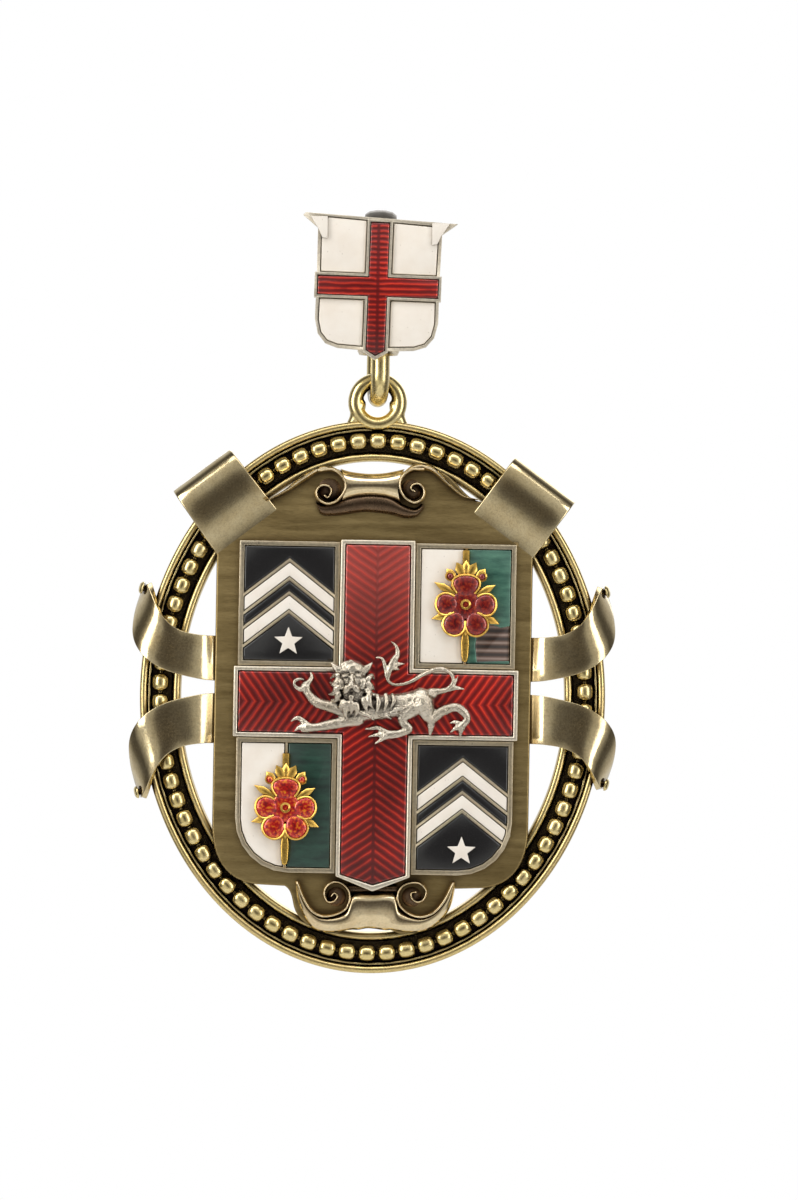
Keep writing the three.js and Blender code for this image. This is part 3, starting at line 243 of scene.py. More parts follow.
# Chevrons engraved under the red of the large cross, and how far above its middle it turns pink, a painted
# sheen
cross = {"centre": (0.4, -0.7), "pale": 8.9, "pitch": 1.02, "slope": 0.7, "pinkFrom": 4}
upperCross = {"pale": 30, "pitch": 0.62, "slope": 0.0, "pinkFrom": 40}  # level lines only, and no pink
redEnamel = {
    "tones": [(0.0, (0.18, 0.003, 0.003)), (0.5, (0.25, 0.004, 0.004)), (0.85, (0.50, 0.012, 0.006)),
              (1.0, (0.78, 0.05, 0.02))],
    "clouds": [(0.35, (0.5, 0.45, 0.45)), (0.65, (1.15, 1.1, 1.1))], "cloudSize": 0.12,
    "wobble": (0.6, 0.3), "spine": 0.25, "pink": (0.52, 0.11, 0.09), "pinkShare": 0.5, "pinkDeep": 12,
    "bump": (0.45, 0.12),
}


def redMaterial(name, middle, lines):  # translucent red over engraved chevrons
    material, nodes, links, shader = newMaterial(name)
    slope, pinkFrom = lines["slope"], lines["pinkFrom"]
    place = objectPlace(nodes, links, centre=(middle[0] * mm, 0, middle[1] * mm))
    parts = nodes.new("ShaderNodeSeparateXYZ")
    links.new(place, parts.inputs[0])
    x = mathOf(nodes, links, "ABSOLUTE", parts.outputs["X"])
    z = mathOf(nodes, links, "ABSOLUTE", parts.outputs["Z"])
    upright = mathOf(nodes, links, "SUBTRACT", z, mathOf(nodes, links, "MULTIPLY", x, slope))
    level = mathOf(nodes, links, "SUBTRACT", x, mathOf(nodes, links, "MULTIPLY", z, slope))
    inPale = mathOf(nodes, links, "LESS_THAN", x, lines["pale"] / 2)
    phase = mathOf(nodes, links, "ADD", mathOf(nodes, links, "MULTIPLY", upright, inPale),
                   mathOf(nodes, links, "MULTIPLY", level, mathOf(nodes, links, "SUBTRACT", 1.0, inPale)))
    scale, share = redEnamel["wobble"]
    wobble = noiseOf(nodes, links, place, scale, 2)
    phase = mathOf(nodes, links, "ADD", phase, mathOf(nodes, links, "MULTIPLY", wobble, share))
    wave = mathOf(nodes, links, "SINE", mathOf(nodes, links, "MULTIPLY", phase, 2 * math.pi / lines["pitch"]))
    ridge = mathOf(nodes, links, "MULTIPLY_ADD", wave, 0.5, 0.5)
    spine = mathOf(nodes, links, "MINIMUM", mathOf(nodes, links, "DIVIDE", x, redEnamel["spine"]), 1.0)
    ridge = mathOf(nodes, links, "MULTIPLY", ridge, spine)
    red = rampOf(nodes, links, ridge, redEnamel["tones"])
    cloud = noiseOf(nodes, links, place, redEnamel["cloudSize"], 2)
    deep = rampOf(nodes, links, cloud, redEnamel["clouds"])
    red = mixOf(nodes, links, 1.0, red, deep, "MULTIPLY")
    # Painted sheen: the red grows lighter and pinker towards the top
    pinkTo = pinkFrom + redEnamel["pinkDeep"]
    pink = spread(nodes, links, parts.outputs["Z"], 0, redEnamel["pinkShare"], pinkFrom, pinkTo)
    red = mixOf(nodes, links, pink, red, redEnamel["pink"])
    links.new(red, shader.inputs["Base Color"])
    coat(shader, "red")
    relief = bumpOf(nodes, links, ridge, *redEnamel["bump"])
    links.new(relief.outputs["Normal"], shader.inputs["Normal"])
    return material


# The brown at the enamel's edges is painted shade where it meets its walls
whiteEnamel = {
    "pinScale": 1.3, "pinSize": (0.035, 0.075), "pinColour": (0.33, 0.27, 0.22), "cloudSize": 0.35,
    "cream": ((0.80, 0.73, 0.645), (0.86, 0.81, 0.74)), "edge": 0.35, "edgeShadeColour": (0.30, 0.25, 0.18),
    "bump": (0.25, 0.1),
}


def whiteMaterial(name):  # opaque cream enamel with pinholes, faint clouds and painted shade along its walls
    material, nodes, links, shader = newMaterial(name)
    place = objectPlace(nodes, links)
    cells = nodes.new("ShaderNodeTexVoronoi")
    cells.inputs["Scale"].default_value = whiteEnamel["pinScale"]
    links.new(place, cells.inputs["Vector"])
    pin = spread(nodes, links, cells.outputs["Distance"], 0, 1, *whiteEnamel["pinSize"])
    cloud = noiseOf(nodes, links, place, whiteEnamel["cloudSize"], 4)
    colour = mixOf(nodes, links, spread(nodes, links, cloud, 0, 1), *whiteEnamel["cream"])
    colour = mixOf(nodes, links, pin, whiteEnamel["pinColour"], colour)
    # Painted shade where the enamel meets the raised walls around it
    edge = spread(nodes, links, hollowShadeMask(nodes, whiteEnamel["edge"]), 0, 1)
    colour = mixOf(nodes, links, edge, whiteEnamel["edgeShadeColour"], colour)
    links.new(colour, shader.inputs["Base Color"])
    coat(shader, "white")
    relief = bumpOf(nodes, links, cloud, *whiteEnamel["bump"])
    links.new(relief.outputs["Normal"], shader.inputs["Normal"])
    return material


blackEnamel = {
    "dustSize": 9, "dust": (0.66, 0.75), "tones": ((0.010, 0.010, 0.011), (0.07, 0.065, 0.06)),
    "cloudSize": 0.25, "rough": (0.05, 0.12), "bump": (0.3, 0.15),
}


def blackMaterial(name):  # glossy black with a little dust
    material, nodes, links, shader = newMaterial(name)
    place = objectPlace(nodes, links)
    cloud = noiseOf(nodes, links, place, blackEnamel["cloudSize"], 4)
    specks = noiseOf(nodes, links, place, blackEnamel["dustSize"], 2)
    dust = spread(nodes, links, specks, 0, 1, *blackEnamel["dust"])
    links.new(mixOf(nodes, links, dust, *blackEnamel["tones"]), shader.inputs["Base Color"])
    links.new(spread(nodes, links, cloud, *blackEnamel["rough"]), shader.inputs["Roughness"])
    coat(shader, "black")
    relief = bumpOf(nodes, links, cloud, *blackEnamel["bump"])
    links.new(relief.outputs["Normal"], shader.inputs["Normal"])
    return material


# Light and deep tone of the two greens, and the engraved ground that shows where the upper one is chipped
greenEnamel = {
    "upper": ((0.10, 0.25, 0.18), (0.02, 0.085, 0.065)),
    "lower": ((0.022, 0.075, 0.052), (0.006, 0.022, 0.017)),
    "pitch": 0.95, "lines": 0.045, "cloudSize": 0.45, "stretch": (0.5, 1, 1.6), "bump": (0.5, 0.12),
    "ground": [(0.1, (0.025, 0.014, 0.010)), (0.75, (0.13, 0.075, 0.055)), (0.95, (0.26, 0.19, 0.16))],
    "chipDeep": 0.15, "noChip": 50,
}


def greenMaterial(name, light, deep, chipFloor):  # engraved lines across, brown ground where it is chipped
    material, nodes, links, shader = newMaterial(name)
    place = objectPlace(nodes, links)
    parts = nodes.new("ShaderNodeSeparateXYZ")
    links.new(place, parts.inputs[0])
    phase = mathOf(nodes, links, "MULTIPLY", parts.outputs["Z"], 2 * math.pi / greenEnamel["pitch"])
    lines = mathOf(nodes, links, "SINE", phase)
    wide = objectPlace(nodes, links, scale=greenEnamel["stretch"])
    cloud = noiseOf(nodes, links, wide, greenEnamel["cloudSize"], 5, 0.65)
    ground = mathOf(nodes, links, "MULTIPLY_ADD", lines, greenEnamel["lines"], cloud)
    green = rampOf(nodes, links, ground, [(0.3, deep), (0.7, light)])
    brown = rampOf(nodes, links, mathOf(nodes, links, "MULTIPLY_ADD", lines, 0.5, 0.5), greenEnamel["ground"])
    inChip = mathOf(nodes, links, "GREATER_THAN", parts.outputs["Y"], chipFloor)
    links.new(mixOf(nodes, links, inChip, green, brown), shader.inputs["Base Color"])
    coat(shader, "green")
    relief = bumpOf(nodes, links, ground, *greenEnamel["bump"])
    links.new(relief.outputs["Normal"], shader.inputs["Normal"])
    return material


def petalMaterial(name, goldAndGlint):  # translucent red over gold; its orange patches are gold showing through and partly painted glints
    material, nodes, links, shader = newMaterial(name)
    place = objectPlace(nodes, links)
    cloud = noiseOf(nodes, links, place, 2.6, 3)
    tones = [(0.35, (0.10 * goldAndGlint, 0.003, 0.005)), (0.52, (0.27 * goldAndGlint, 0.008, 0.006)),
             (0.68, (0.42 * goldAndGlint, 0.06 * goldAndGlint * goldAndGlint, 0.012))]
    colour = rampOf(nodes, links, cloud, tones)
    links.new(colour, shader.inputs["Base Color"])
    coat(shader, "petal")
    links.new(bumpOf(nodes, links, cloud, 0.3, 0.1).outputs["Normal"], shader.inputs["Normal"])
    return material


look = {name: metalMaterial(name, values) for name, values in metals.items()}
crossMiddle = (cross["centre"][0], centreZ / mm + cross["centre"][1])
look["crossRed"] = redMaterial("crossRed", crossMiddle, cross)
upperLow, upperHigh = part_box("upper_cross_enamel")
upperMiddle = (upperLow + upperHigh) / 2
look["upperRed"] = redMaterial("upperRed", (upperMiddle.x / mm, upperMiddle.z / mm), upperCross)
look["white"] = whiteMaterial("whiteEnamel")
look["black"] = blackMaterial("blackEnamel")
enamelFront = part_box("white_field_2")[0].y
chipFloor = enamelFront / mm + greenEnamel["chipDeep"]
look["greenUpper"] = greenMaterial("greenEnamelUpper", *greenEnamel["upper"], chipFloor)
look["greenLower"] = greenMaterial("greenEnamelLower", *greenEnamel["lower"], greenEnamel["noChip"])
# The rose of quarter 3 gets a brighter copy, with more orange: more gold showing through and more painted
# glint
petalGoldAndGlint = {"petal": 0.95, "petalBright": 2.1}
look["petal"] = petalMaterial("petalEnamel", petalGoldAndGlint["petal"])
look["petalBright"] = petalMaterial("petalEnamelBright", petalGoldAndGlint["petalBright"])
print("materials made:", len(look))


# Helpers for meshes

def addPiece(bm, name, material, body, nodes=(), sharp=38):
    bmesh.ops.remove_doubles(bm, verts=bm.verts, dist=1e-4)
    bmesh.ops.recalc_face_normals(bm, faces=bm.faces)
    bmesh.ops.transform(bm, matrix=toFrame, verts=bm.verts)
    mesh = bpy.data.meshes.new(name)
    bm.to_mesh(mesh)
    bm.free()
    mesh.materials.append(look[material])
    mesh.polygons.foreach_set("use_smooth", [True] * len(mesh.polygons))
    mesh.set_sharp_from_angle(angle=math.radians(sharp))
    piece = bpy.data.objects.new(name, mesh)
    bpy.context.scene.collection.objects.link(piece)
    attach(piece, body)
    if nodes:
        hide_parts(*nodes)
    return piece


def smoothLine(rows, steps):  # Catmull-Rom through the rows, as many values a row as it holds
    points = [Vector(r) for r in rows]
    points = [2 * points[0] - points[1], *points, 2 * points[-1] - points[-2]]
    line = []
    for i in range(steps + 1):
        at = min(i / steps * (len(rows) - 1), len(rows) - 1.0001)
        k, t = int(at), at - int(at)
        a, b, c, d = points[k:k + 4]
        line.append(0.5 * (2 * b + (c - a) * t + (2 * a - 5 * b + 4 * c - d) * t * t
                           + (3 * b - a - 3 * c + d) * t ** 3))
    return line


def flatSlab(bm, outline, back, front, edge, segments=3):  # an outline given thickness and a soft front edge
    corners = [bm.verts.new((x, y, back)) for x, y in outline]
    base = bm.faces.new(corners)
    made = bmesh.ops.extrude_face_region(bm, geom=[base])
    top = [v for v in made["geom"] if isinstance(v, bmesh.types.BMVert)]
    bmesh.ops.translate(bm, vec=(0, 0, front - back), verts=top)
    face = next(f for f in made["geom"] if isinstance(f, bmesh.types.BMFace))
    if edge:
        bmesh.ops.bevel(bm, geom=list(face.edges), affect="EDGES", offset=edge, segments=segments,
                        profile=0.5, material=-1, clamp_overlap=True)


# A tube's round end: how far past the last row and how wide, as shares of its radius
roundEnd = [(0.6, 0.8), (0.92, 0.4), (1, 1e-6)]


def tube(bm, line, sides=14, closed=False, flat=1.0):  # rows of x, y, z and radius
    rows = [Vector(r) for r in line]
    if closed:
        rows.append(rows[0])
    else:  # round ends
        for end, near in ((0, 1), (-1, -2)):
            way = (rows[end] - rows[near]).xyz.normalized()
            tip = rows[end]
            caps = [Vector((*(tip.xyz + way * tip[3] * a), tip[3] * b)) for a, b in roundEnd]
            rows = [*reversed(caps), *rows] if end == 0 else [*rows, *caps]
    count = len(rows) - 1
    side = None
    rings = []
    for i, row in enumerate(rows):
        ahead = rows[(i + 1) % count if closed else min(i + 1, count)].xyz
        behind = rows[(i - 1) % count if closed else max(i - 1, 0)].xyz
        way = (ahead - behind).normalized()
        side = (side or way.orthogonal()).copy()
        side = (side - way * side.dot(way)).normalized()
        rings.append((row, side, way.cross(side)))
    if closed:
        rings[-1] = rings[0]
    made = bmesh.ops.create_grid(bm, x_segments=count, y_segments=sides, size=0.5)["verts"]
    for v in made:
        row, a, b = rings[round((v.co.x + 0.5) * count)]
        turn = round((v.co.y + 0.5) * sides) % sides * 2 * math.pi / sides
        out = (a * math.cos(turn) + b * math.sin(turn)) * row[3]
        v.co = row.xyz + Vector((out.x, out.y, out.z * flat))
    bmesh.ops.remove_doubles(bm, verts=made, dist=1e-5)


def loft(bm, rows, steps, across, back, rise, power=0.5, crest=0.5):  # a domed strip on a flat floor
    lines = [smoothLine([row[k] for row in rows], steps) for k in range(3)]
    strip = []
    for height in (rise, 0):
        made = bmesh.ops.create_grid(bm, x_segments=steps, y_segments=across, size=0.5)["verts"]
        for v in made:
            k, t = round((v.co.x + 0.5) * steps), v.co.y + 0.5
            a, b, c = (line[k] for line in lines)
            at = a * (1 - t) * (1 - 2 * t) + b * 4 * t * (1 - t) + c * t * (2 * t - 1)
            lift = max(1 - ((t - crest) / (1 - crest if t > crest else crest)) ** 2, 0) ** power
            v.co = (at.x, at.y, back + height * lift)
        strip += made
    bmesh.ops.remove_doubles(bm, verts=strip, dist=1e-4)
    bmesh.ops.holes_fill(bm, edges=[e for e in bm.edges if e.is_boundary], sides=0)


def fused(bm, voxel, smooth):  # one skin round everything in bm
    mesh = bpy.data.meshes.new("skin")
    bm.to_mesh(mesh)
    bm.free()
    source = bpy.data.objects.new("skin", mesh)
    bpy.context.scene.collection.objects.link(source)
    remesh = source.modifiers.new("remesh", "REMESH")
    remesh.mode = "VOXEL"
    remesh.voxel_size = voxel
    soften = source.modifiers.new("soften", "SMOOTH")
    soften.factor = 0.5
    soften.iterations = smooth
    graph = bpy.context.evaluated_depsgraph_get()
    skin = bpy.data.meshes.new_from_object(source.evaluated_get(graph))
    bpy.data.objects.remove(source)
    made = bmesh.new()
    made.from_mesh(skin)
    bpy.data.meshes.remove(skin)
    return made


def refined(node, material, body, edge=0.12, segments=3, angle=30):
    bm = bmesh.new()  # a merged copy of a CAD node with its corners rounded
    bm.from_mesh(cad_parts[node].data)
    bmesh.ops.remove_doubles(bm, verts=bm.verts, dist=2e-6)
    bmesh.ops.transform(bm, matrix=toDrawn, verts=bm.verts)
    bmesh.ops.dissolve_limit(bm, angle_limit=math.radians(1.5), verts=bm.verts, edges=bm.edges)
    sharpEdges = [e for e in bm.edges if len(e.link_faces) == 2 and e.calc_face_angle() > math.radians(angle)]
    if edge:
        bmesh.ops.bevel(bm, geom=sharpEdges, affect="EDGES", offset=edge, segments=segments,
                        profile=0.5, material=-1, clamp_overlap=True)
    return addPiece(bm, node + "_dressed", material, body, (node,), sharp=50)


# Oval frame, bead wire and eye

halfX = (oval["width"] - oval["band"]) / 2
halfY = (oval["height"] - oval["band"]) / 2
around = [0.0]  # length along the band's middle line at each small turn
turns = 1440
for i in range(turns):
    a, b = 2 * math.pi * i / turns, 2 * math.pi * (i + 1) / turns
    stepX, stepY = halfX * (math.cos(b) - math.cos(a)), halfY * (math.sin(b) - math.sin(a))
    around.append(around[-1] + math.hypot(stepX, stepY))


def ovalTurn(share):  # the ellipse's angle at a share of its length
    want = (share % 1.0) * around[-1]
    low, high = 0, turns
    while high - low > 1:
        middle = (low + high) // 2
        if around[middle] <= want:
            low = middle
        else:
            high = middle
    part = (want - around[low]) / (around[low + 1] - around[low])
    return 2 * math.pi * (low + part) / turns


def offOval(share, out, fore):  # a point beside the band's middle line
    a = ovalTurn(share)
    along = Vector((-halfX * math.sin(a), halfY * math.cos(a))).normalized()
    return Vector((halfX * math.cos(a) + along.y * out, halfY * math.sin(a) - along.x * out, fore))


def arcPoints(x, y, radius, start, end, count):
    angles = [math.radians(start + (end - start) * k / count) for k in range(count + 1)]
    return [(x + radius * math.cos(a), y + radius * math.sin(a)) for a in angles]


# The band's section: outwards from its middle line, and forward of its back
rimShape = {
    "half": 2.45, "soft": 0.35, "outerRound": 0.45, "outerFore": 2.25, "ledge": (1.53, 2.02),
    "lipRound": 0.17, "lipAt": (1.33, 2.2), "channel": [(1.14, 1.6), (1.0, 1.4), (-1.3, 1.4), (-1.46, 1.6)],
    "innerRound": 0.47, "innerFore": 2.18, "inset": 0.03, "reach": 20,
}


def ovalFrame():
    s = rimShape
    section = [(-s["half"] + s["soft"], 0), (s["half"] - s["soft"], 0), (s["half"], s["soft"])]
    section += arcPoints(s["half"] - s["outerRound"], s["outerFore"], s["outerRound"], 0, 180, 10)
    section += [s["ledge"]]
    section += arcPoints(*s["lipAt"], s["lipRound"], 0, 180, 6)
    section += s["channel"]
    innerAt = -s["half"] + s["innerRound"] + s["inset"]
    section += arcPoints(innerAt, s["innerFore"], s["innerRound"], 0, 180, 10)
    section += [(-s["half"], s["soft"])]
    bm = bmesh.new()
    ring = [bm.verts.new((s["reach"] + out, 0, fore)) for out, fore in section]
    edges = [bm.edges.new((ring[i], ring[(i + 1) % len(ring)])) for i in range(len(ring))]
    bmesh.ops.spin(bm, geom=ring + edges, cent=(0, 0, 0), axis=(0, 0, 1), angle=2 * math.pi,
                   steps=oval["steps"], use_merge=True)
    for v in bm.verts:
        share = math.atan2(v.co.y, v.co.x) / (2 * math.pi)
        v.co = offOval(share, math.hypot(v.co.x, v.co.y) - s["reach"], v.co.z)
    return addPiece(bm, "oval_rims", "channelGilt", "badge", ("oval_frame",), sharp=45)


beads = {
    "count": 74, "size": 1.98, "neck": 0.4, "collar": 0.56, "fore": 2.43, "sides": 18, "share": 0.88,
    "round": 3.1, "blunt": 0.36, "thinnest": 0.2, "ring": 4,
    "stations": [0.015, 0.06, 0.13, 0.22, 0.32, 0.44, 0.56, 0.66, 0.75, 0.82, 0.865, 0.88, 0.92, 0.96],
}


def beadThick(t):  # thickness along one bead and its reel, t from 0 to 1
    bead = beads["share"]
    if t < bead:
        u = abs(2 * t / bead - 1)
        return beads["size"] * max(1 - u ** beads["round"], 0.0) ** beads["blunt"] + 0.001
    u = abs(2 * (t - bead) / (1 - bead) - 1)
    return beads["neck"] + (beads["collar"] - beads["neck"]) * (1 - u ** 2)


def beadedWire():
    stations = beads["stations"]
    bm = bmesh.new()
    place = Matrix.Translation((beads["ring"], 0, 0)) @ Matrix.Rotation(math.pi / 2, 4, "X")
    circle = bmesh.ops.create_circle(bm, radius=1, segments=beads["sides"], matrix=place)
    steps = beads["count"] * len(stations)
    bmesh.ops.spin(bm, geom=circle["verts"] + bm.edges[:], cent=(0, 0, 0), axis=(0, 0, 1), angle=2 * math.pi,
                   steps=steps, use_merge=True)
    for v in bm.verts:
        step = round(math.atan2(v.co.y, v.co.x) / (2 * math.pi) * steps) % steps
        along = stations[step % len(stations)]
        radius = max(beadThick(along) / 2, beads["thinnest"])
        out, rise = math.hypot(v.co.x, v.co.y) - beads["ring"], v.co.z
        share = (step // len(stations) + along) / beads["count"]
        v.co = offOval(share, out * radius, beads["fore"] + rise * radius)
    return addPiece(bm, "bead_wire", "gilt", "badge", ("beaded_wire",), sharp=60)


eye = {"y": 35.4, "fore": 2.0, "radius": 2.65, "wire": 0.9, "turns": 48, "sides": 20, "footSteps": 14,
       "footSides": 16, "voxel": 0.13, "smooth": 6}
# Columns: outwards, up, forward and radius
eyeFoot = [(2.15, 35.1, 1.95, 0.8), (2.4, 34.2, 1.9, 0.85), (2.6, 33.4, 1.8, 0.8), (3.0, 32.8, 1.7, 0.68),
           (3.4, 32.45, 1.6, 0.5)]


def eyeAndFoot():
    bm = bmesh.new()
    ring = [2 * math.pi * k / eye["turns"] for k in range(eye["turns"])]
    tube(bm, [(eye["radius"] * math.cos(a), eye["y"] + eye["radius"] * math.sin(a), eye["fore"], eye["wire"])
              for a in ring], eye["sides"], closed=True)
    for side in (-1, 1):
        foot = [(side * x, y, z, r) for x, y, z, r in eyeFoot]
        tube(bm, smoothLine(foot, eye["footSteps"]), eye["footSides"])
    skin = fused(bm, eye["voxel"], eye["smooth"])
    return addPiece(skin, "eye_loop", "gilt", "badge", ("oval_frame",), sharp=80)


ovalFrame()
beadedWire()
eyeAndFoot()
print("oval frame, beads and eye made")


# Cartouche: plate, ribbons and scrolls

plate = {"width": 37.9, "back": 2.8, "front": 3.9, "top": 23.6, "bottom": -22.7, "corner": 6.3, "root": 6.3,
         "wingHalf": 8.0, "wingTop": 27.3, "flangeHalf": 9.6, "flangeBottom": -28.3, "bevel": 0.22}


def bezier(a, b, c, d, count):  # count points after a, on the curve to d
    points = []
    for k in range(1, count + 1):
        t = k / count
        u = 1 - t
        points.append(tuple(u ** 3 * a[i] + 3 * u * u * t * b[i] + 3 * u * t * t * c[i] + t ** 3 * d[i]
                            for i in range(2)))
    return points


def plateRight():  # right half of the plate's outline, from the foot up
    p = plate
    half, lobe = p["width"] / 2, 0.38 * p["flangeHalf"]
    low, bottom, top = p["flangeBottom"], p["bottom"], p["top"]
    line = [(0, low + 1.0)]
    line += bezier(line[-1], (0.33 * lobe, low + 0.95), (0.67 * lobe, low + 0.6), (lobe, low), 6)
    line += bezier(line[-1], (1.7 * lobe, low - 0.1), (p["flangeHalf"] - 0.8, low + 1.2),
                   (p["flangeHalf"] - 0.5, bottom - 2), 12)
    line += bezier(line[-1], (p["flangeHalf"] - 0.35, bottom - 1.3), (p["flangeHalf"] - 0.2, bottom - 0.5),
                   (p["flangeHalf"] + 0.5, bottom - 0.1), 5)
    line += [(half - p["corner"], bottom)]
    line += bezier(line[-1], (half - 0.4 * p["corner"], bottom), (half, bottom + 0.35 * p["corner"]),
                   (half, bottom + 1.15 * p["corner"]), 14)
    line += [(half, top - p["root"]), (half - p["root"], top)]
    line += bezier(line[-1], (p["wingHalf"] + 2.2, top + 0.4), (p["wingHalf"] + 1.6, p["wingTop"] - 0.4),
                   (p["wingHalf"] - 0.8, p["wingTop"]), 12)
    line += bezier(line[-1], (0.7 * p["wingHalf"], p["wingTop"] + 0.15), (0.5 * p["wingHalf"], p["wingTop"]),
                   (0.42 * p["wingHalf"], p["wingTop"] - 0.6), 5)
    line += bezier(line[-1], (0.3 * p["wingHalf"], p["wingTop"] - 0.85),
                   (0.1 * p["wingHalf"], p["wingTop"] - 0.9), (0, p["wingTop"] - 0.9), 6)
    return line


def cartouchePlate():
    right = plateRight()
    outline = right + [(-x, y) for x, y in reversed(right[1:-1])]
    bm = bmesh.new()
    flatSlab(bm, outline, plate["back"], plate["front"], plate["bevel"], 4)
    return addPiece(bm, "cartouche_plate", "brushedGilt", "badge", ("cartouche",), sharp=25)


ribbon = {"thick": 0.66, "crest": 4.11, "behind": -0.75, "steps": 56, "across": 5, "edge": 0.16, "bend": 50}
sideRibbons = [
    {"side": -1, "up": 1, "root": 4.35, "width": 5.4, "reach": 9.75, "climb": 8.8},
    {"side": 1, "up": 1, "root": 4.8, "width": 5.3, "reach": 9.8, "climb": 8.8},
    {"side": -1, "up": -1, "root": -2.85, "width": 6.0, "reach": 9.95, "climb": 9.7},
    {"side": 1, "up": -1, "root": -2.35, "width": 5.9, "reach": 10.1, "climb": 8.2},
]
# Columns: shares of the reach at the inner and outer edge, of the climb at both, and of the depth at both
sideSections = [
    (-0.07, -0.07, 0, 0, 0.81, 0.81), (0.02, 0.02, 0, 0, 0.81, 0.81), (0.17, 0.22, 0.01, 0.02, 0.99, 0.99),
    (0.38, 0.56, 0.07, 0.09, 1.06, 1.08), (0.54, 0.79, 0.2, 0.19, 1.1, 1.06),
    (0.645, 0.93, 0.38, 0.31, 1.09, 0.93), (0.71, 1.0, 0.57, 0.46, 1.04, 0.7),
    (0.76, 0.99, 0.76, 0.66, 0.95, 0.42), (0.8, 0.93, 0.91, 0.86, 0.86, 0.2),
    (0.83, 0.86, 1.0, 1.0, 0.8, 0.12),
]
upperRibbons = [
    {"side": -1, "lean": 52.5, "width": 8.5, "flare": 1.06, "reach": 7.9, "shift": 0.2},
    {"side": 1, "lean": 54, "width": 9.0, "flare": 1.0, "reach": 7.2, "shift": 0.1},
]
# Columns: shares of the reach and of the depth
upperSections = [(-0.35, 0.844), (0.0, 0.92), (0.3, 1.06), (0.62, 1.1), (0.88, 1.02), (0.99, 0.8),
                 (1.0, 0.42), (0.93, 0.1), (0.75, -0.02), (0.45, -0.03)]


def ribbonFore(share):  # 0 behind the band, 1 at the crest in front of it
    return ribbon["behind"] + (ribbon["crest"] - ribbon["behind"]) * share


def ribbonBand(innerEdge, outerEdge, name):  # a strip of even thickness between two edges
    inner, outer = smoothLine(innerEdge, ribbon["steps"]), smoothLine(outerEdge, ribbon["steps"])
    across, last = ribbon["across"], ribbon["steps"]
    girth = 2 * across + 2
    bm = bmesh.new()
    bmesh.ops.create_grid(bm, x_segments=last, y_segments=girth, size=0.5)
    for v in bm.verts:
        k, j = round((v.co.x + 0.5) * last), round((v.co.y + 0.5) * girth) % girth
        upper = j <= across
        share = j / across if upper else (2 * across + 1 - j) / across
        before, after = max(k - 1, 0), min(k + 1, last)
        way = inner[after].lerp(outer[after], share) - inner[before].lerp(outer[before], share)
        normal = way.cross(outer[k] - inner[k]).normalized()
        v.co = inner[k].lerp(outer[k], share) + normal * ribbon["thick"] * (0.5 if upper else -0.5)
    bmesh.ops.remove_doubles(bm, verts=bm.verts, dist=1e-4)
    bmesh.ops.holes_fill(bm, edges=[e for e in bm.edges if e.is_boundary], sides=0)
    bmesh.ops.recalc_face_normals(bm, faces=bm.faces)
    bend = math.radians(ribbon["bend"])
    rim = [e for e in bm.edges if len(e.link_faces) == 2 and e.calc_face_angle() > bend]
    bmesh.ops.bevel(bm, geom=rim, affect="EDGES", offset=ribbon["edge"], segments=3, profile=0.5, material=-1,
                    clamp_overlap=True)
    return addPiece(bm, name, "ribbonGilt", "badge", ("cartouche",), sharp=60)


def ribbons():
    for number, r in enumerate(sideRibbons):
        def edgePoint(out, share, start, fore):
            x = r["side"] * (plate["width"] / 2 + out * r["reach"])
            return (x, r["root"] + r["up"] * (start + (r["climb"] - start) * share), ribbonFore(fore))
        inner = [edgePoint(s[0], s[2], r["width"] / 2, s[4]) for s in sideSections]
        outer = [edgePoint(s[1], s[3], -r["width"] / 2, s[5]) for s in sideSections]
        ribbonBand(inner, outer, f"side_ribbon_{number + 1}")
    for number, r in enumerate(upperRibbons):
        angle = math.radians(r["lean"])
        along = Vector((r["side"] * math.cos(angle), math.sin(angle)))
        across = Vector((along.y, -along.x)) * r["side"]
        start = Vector((r["side"] * (plate["width"] - plate["root"]) / 2, plate["top"] - plate["root"] / 2))
        start += across * r["shift"]
        edges = []
        for way in (-1, 1):
            line = []
            for share, fore in upperSections:
                wide = r["width"] / 2 * (r["flare"] + (1 - r["flare"]) * min(max(share, 0), 1))
                at = start + along * share * r["reach"] + across * way * wide
                line.append((at.x, at.y, ribbonFore(fore)))
            edges.append(line)
        ribbonBand(edges[0], edges[1], f"upper_ribbon_{number + 1}")


